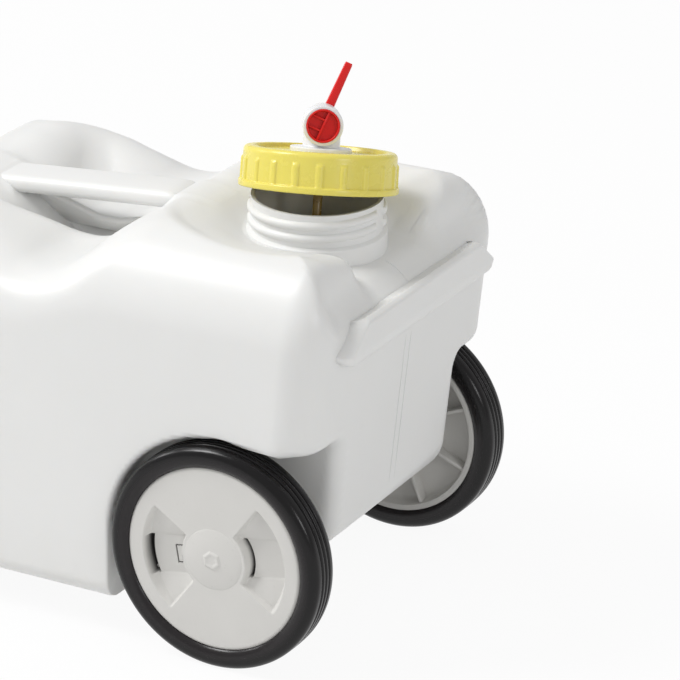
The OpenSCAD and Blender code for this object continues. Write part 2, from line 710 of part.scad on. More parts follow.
// The red plug: open at the barrel's mouth, with ribs inside, a window over the stem and the lever behind
module tap_plug() {
    mouth_z = barrel_len / 2 + plug_proud;
    back_z = -barrel_len / 2 - seat_gap;
    groove_r = plug_d / 2 - oring_d + 2 * fit_gap;
    root_w = lever_w * lever_root_share;
    color("red") at_barrel() rotate([0, 0, -lever_lean]) difference() {
        union() {
            difference() {
                translate([0, 0, back_z]) cylinder(mouth_z - back_z, d = plug_d);
                translate([0, 0, back_z + plug_wall]) cylinder(mouth_z - back_z, d = plug_bore);
                for (s = [-1, 1]) ring(plug_d + over, 2 * groove_r, oring_z(s) - oring_d / 2, oring_d);
            }
            intersection() {
                union() {
                    translate([-plug_d / 2, -plug_rib / 2, barrel_len / 4])
                        cube([plug_d, plug_rib, barrel_len / 4]);
                    for (s = [-1, 1]) translate([s * plug_bore / 5 - plug_rib / 2, 0, barrel_len / 4])
                        cube([plug_rib, plug_d / 2, barrel_len / 4]);
                }
                translate([0, 0, back_z]) cylinder(mouth_z - back_z, d = plug_bore + plug_rib);
            }
            translate([0, 0, back_z - collar_t]) cylinder(collar_t, d = plug_d);
            translate([0, 0, back_z - lever_d]) linear_extrude(lever_d) polygon([[0, -root_w / 2],
                [lever_len - lever_tip, -lever_w / 2], [lever_len, lever_tip - lever_w / 2],
                [lever_len, lever_w / 2], [0, root_w / 2]]);
        }
        rotate([0, 0, lever_lean]) rotate([0, -90, 0]) cylinder(plug_d, d = stem_bore - over);
    }
}
function oring_z(s) = s * oring_place_share * barrel_len;

module tap_orings() {
    color("black") at_barrel() for (s = [-1, 1]) translate([0, 0, oring_z(s)])
        rotate_extrude() translate([plug_d / 2 - oring_d / 2 + fit_gap, 0]) circle(d = oring_d - 6 * fit_gap);
}

module breather_tube() {
    color("goldenrod") at_cap() ring(tube_d, tube_bore, shank_z - tube_len, tube_len + holder_t);
}

tank();
axle();
washer(-1);  // washer_near
washer(1);  // washer_far
rim(-1);  // rim_near
rim(1);  // rim_far
tyre(-1);  // tyre_near
tyre(1);  // tyre_far
retainer(-1);  // retainer_near
retainer(1);  // retainer_far
hub_cap(-1);  // hub_cap_near
hub_cap(1);  // hub_cap_far
filler_cap();
cap_seal();
tap_gasket();
tap_body();
tap_plug();
tap_orings();
tap_nut();
breather_tube();
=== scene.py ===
import math

import bmesh
import bpy
import numpy as np
from mathutils import Matrix, Vector


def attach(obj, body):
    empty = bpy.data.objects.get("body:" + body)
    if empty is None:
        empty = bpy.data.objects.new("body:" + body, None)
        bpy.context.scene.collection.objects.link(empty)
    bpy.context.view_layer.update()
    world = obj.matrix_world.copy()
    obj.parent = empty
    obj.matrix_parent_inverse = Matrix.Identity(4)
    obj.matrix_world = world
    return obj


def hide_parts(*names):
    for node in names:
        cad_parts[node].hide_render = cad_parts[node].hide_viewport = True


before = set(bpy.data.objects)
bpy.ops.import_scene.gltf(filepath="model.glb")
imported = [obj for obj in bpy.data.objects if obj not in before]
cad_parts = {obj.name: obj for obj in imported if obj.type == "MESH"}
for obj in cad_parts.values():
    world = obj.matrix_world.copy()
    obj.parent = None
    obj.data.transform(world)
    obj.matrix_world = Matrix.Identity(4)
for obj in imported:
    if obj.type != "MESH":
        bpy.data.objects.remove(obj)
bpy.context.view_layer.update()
print("frame loaded", len(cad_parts), "nodes")

# lengths below are millimetres and meshes are written in metres; a radian is given in degrees
mm = 0.001
radian = 57.3
axle = np.array([162.5, 0.0, 80.5])


# arrays to mesh

# quads of a grid of nu by nv points, wrapped round in either direction
def gridFaces(nu, nv, wrapU=False, wrapV=False):
    i = np.arange(nu if wrapU else nu - 1)
    j = np.arange(nv if wrapV else nv - 1)
    a, b = np.meshgrid(i, j, indexing="ij")
    a, b = a.ravel(), b.ravel()
    a2, b2 = (a + 1) % nu, (b + 1) % nv
    return np.stack([a * nv + b, a2 * nv + b, a2 * nv + b2, a * nv + b2], 1)


# several (points, faces) pairs as one pair
def joined(*parts):
    points, faces, start = [], [], 0
    for p, f in parts:
        points.append(p.reshape(-1, 3))
        faces.append(f + start)
        start += len(points[-1])
    return np.concatenate(points), np.concatenate(faces)


# rings of points as a tube, each end shut by a ring drawn together at the end's middle
def shutTube(rings):
    ends = [np.repeat(rings[[k]].mean(1, keepdims=True), rings.shape[1], 1) for k in (0, -1)]
    points = np.concatenate([ends[0], rings, ends[1]])
    return points.reshape(-1, 3), gridFaces(len(points), rings.shape[1], wrapV=True)


# a mesh object at the origin from points in millimetres; welds seams and poles and turns faces out when asked
def makePiece(name, shape, finish, body, replaces=(), sharp=45, normals=None, weld=True,
              outward=True, marks=None):
    points, faces = shape
    mesh = bpy.data.meshes.new(name)
    mesh.from_pydata((points * mm).tolist(), [], faces.tolist())
    for key, values in (marks or {}).items():
        layer = mesh.attributes.new(key, "FLOAT", "POINT")
        layer.data.foreach_set("value", values.astype(np.float32))
    bm = bmesh.new()
    bm.from_mesh(mesh)
    if weld:
        bmesh.ops.remove_doubles(bm, verts=bm.verts, dist=2e-6)
    if outward:
        bmesh.ops.recalc_face_normals(bm, faces=bm.faces)
    bm.to_mesh(mesh)
    bm.free()
    mesh.polygons.foreach_set("use_smooth", np.ones(len(mesh.polygons), dtype=bool))
    if sharp:
        mesh.set_sharp_from_angle(angle=math.radians(sharp))
    if normals is not None:
        mesh.normals_split_custom_set_from_vertices(normals.tolist())
    mesh.materials.append(finish)
    piece = bpy.data.objects.new(name, mesh)
    bpy.context.scene.collection.objects.link(piece)
    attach(piece, body)
    if replaces:
        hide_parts(*replaces)
    print("piece", name, len(mesh.polygons), "faces")


# points on an arc, centre, radius and angles in degrees
def arc(cx, cy, r, a0, a1, n):
    a = np.radians(np.linspace(a0, a1, n))
    return np.stack([cx + r * np.cos(a), cy + r * np.sin(a)], 1)


# a polyline with each corner rounded: the corner becomes an arc of radius r tangent to both sides
def rounded(corners, r, n, closed=False):
    c = np.asarray(corners, float)
    r = np.broadcast_to(r, len(c))
    out = []
    for k in range(len(c)):
        if not closed and k in (0, len(c) - 1):
            out.append(c[k:k + 1])
            continue
        p, q, s = c[k - 1], c[k], c[(k + 1) % len(c)]
        u, v = (p - q) / np.linalg.norm(p - q), (s - q) / np.linalg.norm(s - q)
        half = math.acos(np.clip(u @ v, -1, 1)) / 2
        if half > 1.55 or r[k] <= 0:
            out.append(c[k:k + 1])
            continue
        d = min(r[k] / math.tan(half), 0.49 * np.linalg.norm(p - q), 0.49 * np.linalg.norm(s - q))
        rr = d * math.tan(half)
        mid = q + (u + v) / np.linalg.norm(u + v) * rr / math.sin(half)
        a, b = q + u * d - mid, q + v * d - mid
        t = np.linspace(0, 1, n)[:, None]
        w = a * np.sin((1 - t) * (math.pi - 2 * half)) + b * np.sin(t * (math.pi - 2 * half))
        out.append(mid + w / math.sin(math.pi - 2 * half))
    return np.concatenate(out)


# points at radius r, angle a and height z round the Z axis
def aroundZ(r, a, z):
    return np.stack(np.broadcast_arrays(r * np.cos(a), r * np.sin(a), z), -1)


# a profile of (radius, height) pairs turned about Z; bulge(angle, profile) adds to the radius
def revolve(profile, n, closed=True, bulge=None):
    p = np.asarray(profile, float)
    a = np.linspace(0, 2 * np.pi, n, endpoint=False)[:, None]
    points = aroundZ(p[None, :, 0] + (bulge(a, p[None]) if bulge else 0), a, p[None, :, 1])
    return points.reshape(-1, 3), gridFaces(n, len(p), wrapU=True, wrapV=closed)


# a section of (side, up) points carried along a path; ups is the up direction, or one for each path point
def sweep(path, ups, section, scale=1.0):
    ups, sec = np.asarray(ups, float), np.asarray(section)
    t = np.gradient(path, axis=0)
    t /= np.linalg.norm(t, axis=1, keepdims=True)
    up = ups - t * (ups * t).sum(1, keepdims=True)
    up /= np.linalg.norm(up, axis=1, keepdims=True)
    across = sec[None, :, :1] * np.cross(t, up)[:, None] + sec[None, :, 1:] * up[:, None]
    return shutTube(path[:, None] + np.broadcast_to(scale, len(path))[:, None, None] * across)


# a rectangle with round corners as section points
def barSection(w, t, r, n):
    return rounded([[-w / 2, -t / 2], [w / 2, -t / 2], [w / 2, t / 2], [-w / 2, t / 2]], r, n, closed=True)


# a box with rounded edges, as a rounded section carried along one direction with rounded ends
def softBox(w, t, length, r, n):
    full = barSection(w, t, r, n)
    a = np.radians(np.linspace(0, 90, n))
    z = np.concatenate([r - r * np.cos(a), length - r + r * np.sin(a)])
    grow = np.concatenate([np.sin(a), np.cos(a)])
    inner = np.sign(full) * np.minimum(np.abs(full), np.array([w / 2 - r, t / 2 - r]))
    ring = inner[None] + grow[:, None, None] * (full - inner)[None]
    return shutTube(np.concatenate([ring, np.broadcast_to(z[:, None, None], ring.shape[:2] + (1,))], -1))


# a shape moved into a frame: an origin and three axis columns
def placed(shape, origin, axes):
    points, faces = shape
    return points @ np.asarray(axes).T + origin, faces


# finishes

class Wire:
    # one output socket; sums on it add Math nodes
    def __init__(self, finish, socket):
        self.finish, self.socket = finish, socket

    def math(self, operation, a, b):
        return self.finish.node("Math", {"operation": operation}, {0: a, 1: b})

    def __add__(self, other): return self.math("ADD", self, other)
    def __radd__(self, other): return self.math("ADD", other, self)
    def __sub__(self, other): return self.math("SUBTRACT", self, other)
    def __mul__(self, other): return self.math("MULTIPLY", self, other)


class Finish:
    # one material: node() makes any node, body() feeds the Principled shader
    def __init__(self, name):
        self.material = bpy.data.materials.new(name)
        self.material.use_nodes = True
        self.tree = self.material.node_tree
        self.tree.nodes.clear()
        self.out = self.tree.nodes.new("ShaderNodeOutputMaterial")
        self.shader = self.tree.nodes.new("ShaderNodeBsdfPrincipled")
        self.tree.links.new(self.shader.outputs[0], self.out.inputs[0])

    def feed(self, socket, value):
        if isinstance(value, Wire):
            self.tree.links.new(value.socket, socket)
        elif isinstance(value, (tuple, list)) and socket.type == "RGBA":
            socket.default_value = tuple(value) + (1.0,) * (4 - len(value))
        else:
            socket.default_value = value

    def node(self, kind, settings=None, sockets=None, out=0):
        made = self.tree.nodes.new("ShaderNode" + kind)
        for key, value in (settings or {}).items():
            setattr(made, key, value)
        for key, value in (sockets or {}).items():
            self.feed(made.inputs[key], value)
        return Wire(self, made.outputs[out])

    def place(self, scale=(1, 1, 1), turn=(0, 0, 0)):
        here = self.node("TexCoord", out="Object")
        return self.node("Mapping", {}, {"Vector": here, "Scale": scale, "Rotation": turn})

    def height(self):
        return self.node("SeparateXYZ", {}, {0: self.node("TexCoord", out="Object")}, out="Z")

    def noise(self, scale, detail=3.0, roughness=0.5, where=None):
        return self.node("TexNoise", {}, {"Vector": where or self.place(), "Scale": scale, "Detail": detail,
                                          "Roughness": roughness}, out="Fac")

    def band(self, value, low, high):
        return self.node("MapRange", {"interpolation_type": "SMOOTHSTEP"},
                         {"Value": value, "From Min": low, "From Max": high})

    def blend(self, factor, a, b):
        made = self.tree.nodes.new("ShaderNodeMix")
        made.data_type = "RGBA"
        for key, value in ((0, factor), (6, a), (7, b)):
            self.feed(made.inputs[key], value)
        return Wire(self, made.outputs[2])

    def body(self, **sockets):
        names = {"colour": "Base Color", "roughness": "Roughness", "metallic": "Metallic", "ior": "IOR",
                 "glow": "Subsurface Weight", "glowRadius": "Subsurface Radius",
                 "glowScale": "Subsurface Scale", "clear": "Transmission Weight",
                 "specular": "Specular IOR Level", "normal": "Normal"}
        for key, value in sockets.items():
            self.feed(self.shader.inputs[names[key]], value)
        return self.material

    def bump(self, height, strength, distance):
        return self.node("Bump", {}, {"Height": height, "Strength": strength, "Distance": distance})


# tank plastic: faint cloudy tone, fine moulded grain and rub marks, grubbier along the floor
def tankPlastic(settings):
    f = Finish("tankPlastic")
    cloud = f.noise(9.0, 2.0)
    grain = f.noise(1400.0, 2.0, 0.6)
    swirl = f.noise(60.0, 4.0, 0.55, f.place((1, 1, 0.35)))
    scuff = f.band(f.noise(260.0, 3.0, 0.6, f.place((1, 0.12, 0.3), (0.3, 0.2, 0.5))), 0.64, 0.76)
    low = f.band(f.height(), 0.09, 0.02)
    tone = f.blend(cloud, settings["shade"], settings["tone"])
    tone = f.blend(scuff * 0.18 * (0.3 + low), tone, settings["scuff"])
    tone = f.blend(low * swirl * 0.22, tone, settings["grime"])
    height = grain * 0.10 + swirl * 0.25
    return f.body(colour=tone, roughness=0.30 + swirl * 0.10 + scuff * 0.12, ior=1.5, glow=0.12,
                  glowRadius=(0.006, 0.005, 0.004), glowScale=1.0, specular=0.42,
                  normal=f.bump(height, 0.35, 0.0006))


# plain moulded plastic: cloudy tone, fine grain, a soft flow mark
def mouldedPlastic(name, settings):
    f = Finish(name)
    cloud = f.noise(30.0, 3.0)
    grain = f.noise(1500.0, 2.0, 0.6)
    flow = f.noise(90.0, 4.0, 0.55, f.place((1, 0.4, 1)))
    tone = f.blend(cloud, settings["shade"], settings["tone"])
    rough = settings["roughness"] + flow * 0.10 - 0.05
    return f.body(colour=tone, roughness=rough, ior=1.5, glow=settings.get("glow", 0.0),
                  glowRadius=settings.get("glowRadius", (0.004, 0.003, 0.002)), glowScale=1.0,
                  specular=settings.get("specular", 0.5),
                  normal=f.bump(grain * 0.5 + flow * 0.3, settings.get("bump", 0.12), 0.0004))


# wheel plastic: as moulded, with painted shade, near black, in the window, slit and clip frame, placed by the
# piece's own attribute
def wheelPlastic(settings):
    f = Finish("wheelPlastic")
    cloud = f.noise(26.0, 4.0)
    grain = f.noise(1500.0, 2.0, 0.6)
    speck = f.band(f.noise(420.0, 2.0), 0.66, 0.74)
    pit = f.node("Attribute", {"attribute_name": "pit"}, out="Fac")
    tone = f.blend(cloud, settings["shade"], settings["tone"])
    tone = f.blend(speck * 0.12, tone, settings["speck"])
    # painted shade: the window, slit and clip frame go near black
    tone = f.blend(pit, tone, settings["pit"])
    return f.body(colour=tone, roughness=0.46 + cloud * 0.10, ior=1.48, specular=0.45,
                  normal=f.bump(grain * 0.5 + cloud * 0.5, 0.16, 0.0005))


# tyre: black and slightly glossy, with dull grey sidewalls where the piece's own worn attribute says so
def tyreSkin(settings):
    f = Finish("tyreSkin")
    cloud = f.noise(45.0, 4.0, 0.6)
    grain = f.noise(1100.0, 3.0, 0.65)
    dust = f.band(f.noise(140.0, 4.0, 0.6), 0.52, 0.78)
    tone = f.blend(cloud, settings["shade"], settings["tone"])
    worn = f.node("Attribute", {"attribute_name": "worn"}, out="Fac")
    tone = f.blend(worn * (0.75 + dust * 0.25), tone, settings["worn"])
    return f.body(colour=tone, roughness=0.16 + cloud * 0.08 + worn * 0.04, ior=1.5, specular=0.30,
                  normal=f.bump(grain * 0.6 + cloud * 0.4, 0.22, 0.0005))


# clear amber tube
def tubePlastic(settings):
    f = Finish("tubePlastic")
    cloud = f.noise(120.0, 2.0)
    tone = f.blend(cloud, settings["shade"], settings["tone"])
    return f.body(colour=tone, roughness=0.22 + cloud * 0.1, ior=1.46, clear=0.55, specular=0.5)


# turned steel: fine rings across the axle
def turnedSteel(name, settings):
    f = Finish(name)
    rings = f.noise(settings["rings"], 2.0, 0.6, f.place((0.05, 1.0, 0.05)))
    spots = f.noise(300.0, 3.0)
    tone = f.blend(rings, settings["shade"], settings["tone"])
    return f.body(colour=tone, metallic=1.0, roughness=0.26 + rings * 0.16 + spots * 0.08,
                  normal=f.bump(rings, 0.15, 0.0002))


# soft seal: dark, dull, finely pitted
def sealRubber(settings):
    f = Finish("sealRubber")
    grain = f.noise(900.0, 3.0, 0.6)
    tone = f.blend(f.noise(60.0, 3.0), settings["shade"], settings["tone"])
    return f.body(colour=tone, roughness=0.62 + grain * 0.2, normal=f.bump(grain, 0.3, 0.0003))


tankFinish = tankPlastic({"tone": (0.785, 0.785, 0.775), "shade": (0.755, 0.755, 0.742),
                          "scuff": (0.68, 0.68, 0.665), "grime": (0.55, 0.53, 0.48)})
# the wheel's last colour is painted shade for its window, slit and clip frame
wheelFinish = wheelPlastic({"tone": (0.675, 0.665, 0.64), "shade": (0.615, 0.605, 0.58),
                            "speck": (0.42, 0.41, 0.39), "pit": (0.012, 0.011, 0.011)})
tyreFinish = tyreSkin({"tone": (0.0058, 0.005, 0.0055), "shade": (0.004, 0.0035, 0.0038),
                       "worn": (0.020, 0.0172, 0.0182)})
capFinish = mouldedPlastic("capPlastic", {
    "tone": (0.80, 0.70, 0.14), "shade": (0.76, 0.65, 0.12), "roughness": 0.27, "bump": 0.03, "glow": 0.15,
    "glowRadius": (0.006, 0.005, 0.001)})
tapFinish = mouldedPlastic("tapPlastic", {
    "tone": (0.80, 0.80, 0.81), "shade": (0.74, 0.74, 0.755), "roughness": 0.30, "bump": 0.08, "glow": 0.1})
plugFinish = mouldedPlastic("plugPlastic", {
    "tone": (0.72, 0.018, 0.016), "shade": (0.64, 0.012, 0.012), "roughness": 0.32, "bump": 0.08,
    "glow": 0.08, "glowRadius": (0.004, 0.001, 0.001), "specular": 0.3})
washerFinish = mouldedPlastic("washerPlastic", {
    "tone": (0.68, 0.68, 0.66), "shade": (0.60, 0.60, 0.58), "roughness": 0.42})
tubeFinish = tubePlastic({"tone": (0.66, 0.47, 0.16), "shade": (0.56, 0.38, 0.11)})
steelFinish = turnedSteel("axleSteel", {
    "tone": (0.62, 0.62, 0.63), "shade": (0.46, 0.46, 0.47), "rings": 900.0})
ringFinish = turnedSteel("ringSteel", {
    "tone": (0.34, 0.34, 0.35), "shade": (0.22, 0.22, 0.23), "rings": 500.0})
sealFinish = sealRubber({"tone": (0.030, 0.030, 0.032), "shade": (0.020, 0.020, 0.021)})
print("finishes made")


# tank

tank = {"width": 276.0, "rear": -247.5, "endX": 234.1, "endRake": 0.098, "endZ": 200.0, "top": 294.0,
        "rearTop": 274.0, "fallFrom": 72.5, "fallOver": 80.0, "shoulder": 56.0, "corner": 30.0,
        "rearCorner": 45.0, "floor": 26.0, "base": 14.0, "rampBack": 70.0, "rampRise": 0.415,
        "rampScale": 0.92, "rampEdge": 1.0, "boreR": 44.6, "boreZ": 230.0}
crest = {"x": -75.0, "height": 7.0, "length": 30.0, "from": 22.0, "over": 40.0}
scoop = {"x": 20.5, "z": 244.0, "backX": -33.0, "backZ": 264.5, "slope": 0.384, "steeper": 0.076,
         "from": 30.0, "over": 40.0, "valley": 30.0, "edge": 18.0}
pocket = {"z": 226.0, "step": 14.0, "from": -2.5, "to": -32.5, "flatTo": -8.0, "nearRise": 1.15,
          "nearRound": 3.0, "stepFrom": 9.0, "stepOver": 3.0, "farFrom": 55.0, "farRise": 0.6,
          "sideScale": 0.7, "corner": 10.0, "fillet": 12.0}
handle = {"front": 92.5, "top": 287.2, "fall": 5.0, "width": 36.0, "thick": 12.5, "round": 5.5, "from": 66.0,
          "to": -86.0, "steps": 40, "dip": 4.5, "dipFrom": 52.0, "dipOver": 14.0, "frontRoot": 58.0,
          "rearRoot": -76.0, "sink": 3.0, "sinkFront": 68.0, "sinkRear": -88.0, "sinkOver": 12.0,
          "rootFillet": 11.0}
notch = {"above": 0.3, "half": 20.0, "rear": -90.0, "round": 12.0, "edge": 14.0}
bowl = {"outer": 92.0, "inner": 51.0, "floor": 272.0, "drop": 2.0, "spare": 4.0, "rim": 15.0}
ledge = {"x": 226.5, "z": 257.0, "zAt": 227.5, "slope": 0.42, "scale": 0.92, "half": 109.0, "back": 8.0,
         "ends": 13.0, "edge": 15.0}
saddle = {"x": 192.5, "z": 261.5, "zAt": 205.0, "slope": 0.2, "scale": 0.98, "half": 52.0, "back": 6.0,
          "ends": 14.0, "edge": 14.0}
bay = {"x": -131.5, "z": 165.0, "round": 40.0, "edge": 12.0}
foot = {"half": 100.0, "rear": -223.5, "rearLean": 0.175, "rearScale": 0.98, "front": -175.5,
        "frontLean": 0.35, "frontScale": 0.94, "corner": 6.0, "sole": 4.0, "top": 60.0, "fillet": 6.0}
arch = {"radius": 84.4, "waist": 88.0, "lipDrop": 5.0, "lipReach": 57.0, "corner": 8.0, "edge": 3.5,
        "noseEdge": 7.5, "noseFrom": 200.0, "noseOver": 16.0}
diagonal = 0.7071


# eases from 0 to 1: three times t squared less twice t cubed
def smooth(t):
    t = np.clip(t, 0, 1)
    return t * t * (3 - 2 * t)


# a and b are distances outside two faces; meet keeps what is inside both, with the edge rounded by r
def meet(a, b, r):
    return np.minimum(np.maximum(a, b), -r) + np.hypot(np.maximum(a + r, 0), np.maximum(b + r, 0))


# merge joins two solids with a fillet of radius r
def merge(a, b, r):
    return np.maximum(np.minimum(a, b), r) - np.hypot(np.maximum(r - a, 0), np.maximum(r - b, 0))


# height of the carrying handle's top, a straight line that falls to the rear
def handleTop(x):
    return handle["top"] + math.tan(math.radians(handle["fall"])) * (x - handle["front"])


# distance under a floor that falls along X
def underSlope(cut, x, z):
    return (cut["z"] - cut["slope"] * (x - cut["zAt"]) - z) * cut["scale"]


# distance outside the tank: a rounded box with a scoop, a finger pocket, a bowl round the neck, a ledge, the
# wheel arches, the rear bay and the foot, each joined to the last with its own fillet
def tankField(x, y, z):
    t, p, h = tank, pocket, handle
    ay = np.abs(y)
    walls = meet(meet(ay - t["width"] / 2, x - t["endX"] - t["endRake"] * (z - t["endZ"]), t["corner"]),
                 t["rear"] - x, t["rearCorner"])
    top = t["top"] + (t["rearTop"] - t["top"]) * smooth((t["fallFrom"] - x) / t["fallOver"])
    # the rear block's crest stands higher on both sides of the handle
    lift = np.exp(-((x - crest["x"]) / crest["length"]) ** 2) * smooth((ay - crest["from"]) / crest["over"])
    top = top + crest["height"] * lift
    body = meet(walls, z - top, t["shoulder"])
    # the hand scoop across the tank, steeper at its sides
    steep = scoop["slope"] + scoop["steeper"] * smooth((ay - scoop["from"]) / scoop["over"])
    back = (scoop["backZ"] - steep * (x - scoop["backX"]) - z) / np.hypot(1, steep)
    hollow = meet(diagonal * (x - scoop["x"]) - diagonal * (z - scoop["z"]), back, scoop["valley"])
    # the finger pocket along its floor, deep before the web and a step higher behind it
    rise = z - p["z"]
    deep = p["nearRise"] * (np.hypot(np.maximum(p["flatTo"] - y, 0), p["nearRound"]) - p["nearRound"])
    behind = smooth((y - p["stepFrom"]) / p["stepOver"])
    high = p["step"] + p["farRise"] * np.maximum(y - p["farFrom"], 0)
    sides = (deep * (1 - behind) + high * behind - rise) * p["sideScale"]
    ends = np.maximum((x - p["from"] - rise) * diagonal, (p["to"] - rise - x) * diagonal)
    hollow = merge(hollow, meet(sides, ends, p["corner"]), p["fillet"])
    body = meet(body, -hollow, scoop["edge"])
    # the handle's top runs level into the plateau
    clear = meet(handleTop(x) + notch["above"] - z, ay - notch["half"], notch["round"])
    body = meet(body, -meet(clear, notch["rear"] - x, notch["round"]), notch["edge"])
    # the roots of the carrying handle, blended into the plateau and the rear block
    half = h["thick"] / 2
    bar = meet(ay - h["width"] / 2, np.abs(z - handleTop(x) + half) - half, h["round"])
    sinkFront = np.clip((h["sinkFront"] - x) / h["sinkOver"], 0, 1) * h["sink"]
    sinkRear = np.clip((x - h["sinkRear"]) / h["sinkOver"], 0, 1) * h["sink"]
    roots = np.minimum(np.maximum(bar + sinkFront, h["frontRoot"] - x),
                       np.maximum(bar + sinkRear, x - h["rearRoot"]))
    body = merge(body, roots, h["rootFillet"])
    # bowl, ledge and saddle round the neck
    r = np.hypot(x - axle[0], y)
    slope = (top - bowl["drop"] - bowl["floor"]) / (bowl["outer"] - bowl["inner"])
    cone = (bowl["floor"] + np.maximum(r - bowl["inner"], 0) * slope - z) / np.hypot(1, slope)
    body = meet(body, -meet(cone, r - bowl["outer"] - bowl["spare"], bowl["spare"]), bowl["rim"])
    cut = meet(ledge["x"] - x, underSlope(ledge, x, z), ledge["back"])
    body = meet(body, -meet(cut, ay - ledge["half"], ledge["ends"]), ledge["edge"])
    cut = meet(underSlope(saddle, x, z), ay - saddle["half"], saddle["ends"])
    body = meet(body, -meet(cut, saddle["x"] - x, saddle["back"]), saddle["edge"])
    # the rear bay under the tow grip
    body = meet(body, -meet(x - bay["x"], bay["z"] - z, bay["round"]), bay["edge"])
    # floor and its rise under the wheel end
    ramp = (t["floor"] + t["rampRise"] * (x - axle[0] + t["rampBack"]) - z) * t["rampScale"]
    body = meet(body, meet(t["floor"] - z, ramp, t["rampEdge"]), t["base"])
    # the foot, a block that narrows downwards
    rear = (foot["rear"] - x - foot["rearLean"] * z) * foot["rearScale"]
    front = (x - foot["front"] - foot["frontLean"] * z) * foot["frontScale"]
    pad = meet(meet(ay - foot["half"], np.maximum(rear, front), foot["corner"]), -z, foot["sole"])
    body = merge(body, np.maximum(pad, z - foot["top"]), foot["fillet"])
    # wheel arches
    dx, dz = x - axle[0], z - axle[2]
    lip = axle[2] + arch["radius"] - arch["lipDrop"] * smooth(dx / arch["lipReach"])
    room = np.minimum(np.minimum(np.hypot(dx, dz) - arch["radius"], np.maximum(-dx, z - lip)),
                      np.maximum(-arch["radius"] - dx, dz))
    edge = arch["edge"] + arch["noseEdge"] * smooth((x - arch["noseFrom"]) / arch["noseOver"])
    return meet(body, -meet(room, arch["waist"] - ay, arch["corner"]), edge)


# where rays from o along d leave the tank, by halving
def rayHits(o, d, reach=330.0, steps=24):
    low, high = np.zeros(d.shape[:-1]), np.full(d.shape[:-1], reach)
    for _ in range(steps):
        half = 0.5 * (low + high)
        inside = tankField(*np.moveaxis(o + d * half[..., None], -1, 0)) < 0
        low, high = np.where(inside, half, low), np.where(inside, high, half)
    return o + d * (0.5 * (low + high))[..., None]


# the line inside the tank that the skin's rays start from, and how many rays
spine = {"rear": -167.5, "front": 172.5, "low": 110.0, "lift": 85.0, "liftFrom": 30.0, "liftOver": 38.0,
         "crowd": 0.14, "nose": ((0, 0.25, 0.75, 1), (0, 38, 74, 90)), "rings": (56, 176, 100), "spokes": 288}


# the skin as a grid: u runs from the rear pole along the tank to the end wall's pole, v goes round, more
# closely at the top and the bottom; the rings lie closer together over the end wall
def tankSkin():
    nTail, nMid, nNose = spine["rings"]
    rear, front = spine["rear"], spine["front"]
    v = np.linspace(0, 2 * np.pi, spine["spokes"], endpoint=False)[None]
    v = v + spine["crowd"] * np.sin(2 * v)
    middle = np.linspace(rear, front, nMid + 2)[1:-1]
    x = np.concatenate([np.full(nTail, rear), middle, np.full(nNose, front)])
    nose = np.radians(np.interp(np.linspace(0, 1, nNose), *spine["nose"]))
    f = np.concatenate([np.linspace(-np.pi / 2, 0, nTail), np.zeros(nMid), nose])[:, None]
    height = spine["low"] + spine["lift"] * smooth((x - spine["liftFrom"]) / spine["liftOver"])
    o = np.stack([x, 0 * x, height], -1)[:, None]
    d = np.stack([np.sin(f) + 0 * v, np.cos(f) * np.cos(v), np.cos(f) * np.sin(v)], -1)
    return rayHits(o, d)


# the field's gradient, which is the skin's true normal
def skinNormals(p, e=0.35):
    steps = e * np.eye(3)[:, None]
    g = np.stack([tankField(*(p + d).T) - tankField(*(p - d).T) for d in steps], -1)
    return g / np.linalg.norm(g, axis=-1, keepdims=True)


skin = tankSkin()
skinFaces = gridFaces(*skin.shape[:2], wrapV=True)
skinPoints = skin.reshape(-1, 3)
# the skin is open under the neck's bore
fromNeck = np.hypot(skinPoints[:, 0] - axle[0], skinPoints[:, 1])
inBore = (fromNeck < tank["boreR"]) & (skinPoints[:, 2] > tank["boreZ"])
skinFaces = skinFaces[~inBore[skinFaces].all(1)]
makePiece("tankBody", (skinPoints, skinFaces), tankFinish, "chassis", replaces=("tank",),
          sharp=0, weld=False, normals=skinNormals(skinPoints))


# the carrying handle: the bar's section carried from root to root, dipping into the front one
def carryHandle():
    x = np.linspace(handle["from"], handle["to"], handle["steps"])
    mid = handleTop(x) - handle["thick"] / 2
    dip = handle["dip"] * smooth((x - handle["dipFrom"]) / handle["dipOver"])
    section = barSection(handle["width"], handle["thick"], handle["round"], 9)
    return sweep(np.stack([x, 0 * x, mid - dip], 1), [0, 0, 1], section)


grip = {"sink": 6.0, "width": 36.0, "thick": 26.0, "round": 11.0, "steps": 16, "inWall": 8.0, "inFloor": 6.0,
        "flare": 0.45, "flareOver": 20.0, "flarePower": 2.4}


# the tow grip: straight out of the bay's wall, round a quarter turn and down to the bay's floor; its section
# grows by a power of how near a root is
def towGrip():
    cx, cz = tank["rear"] + tank["shoulder"], tank["rearTop"] - tank["shoulder"]
    mid = tank["shoulder"] - grip["sink"] - grip["thick"] / 2
    n = grip["steps"]
    start = np.stack([np.linspace(bay["x"] + grip["inWall"], cx, n, endpoint=False), np.full(n, cz + mid)], 1)
    turn = arc(cx, cz, mid, 90, 180, 20)
    end = np.stack([np.full(n, cx - mid), np.linspace(cz, bay["z"] - grip["inFloor"], n + 1)[1:]], 1)
    flat = np.concatenate([start, turn, end])
    away = np.concatenate([np.tile([0.0, 1], (n, 1)), (turn - [cx, cz]) / mid, np.tile([-1.0, 0], (n, 1))])
    path, ups = (np.insert(p, 1, 0.0, axis=1) for p in (flat, away))
    toWall = np.where(path[:, 0] < cx - 1, np.inf, np.abs(path[:, 0] - bay["x"]))
    near = np.minimum(toWall, np.abs(path[:, 2] - bay["z"]))
    flare = 1 + grip["flare"] * np.clip(1 - near / grip["flareOver"], 0, 1) ** grip["flarePower"]
    return sweep(path, ups, barSection(grip["width"], grip["thick"], grip["round"], 9), flare)


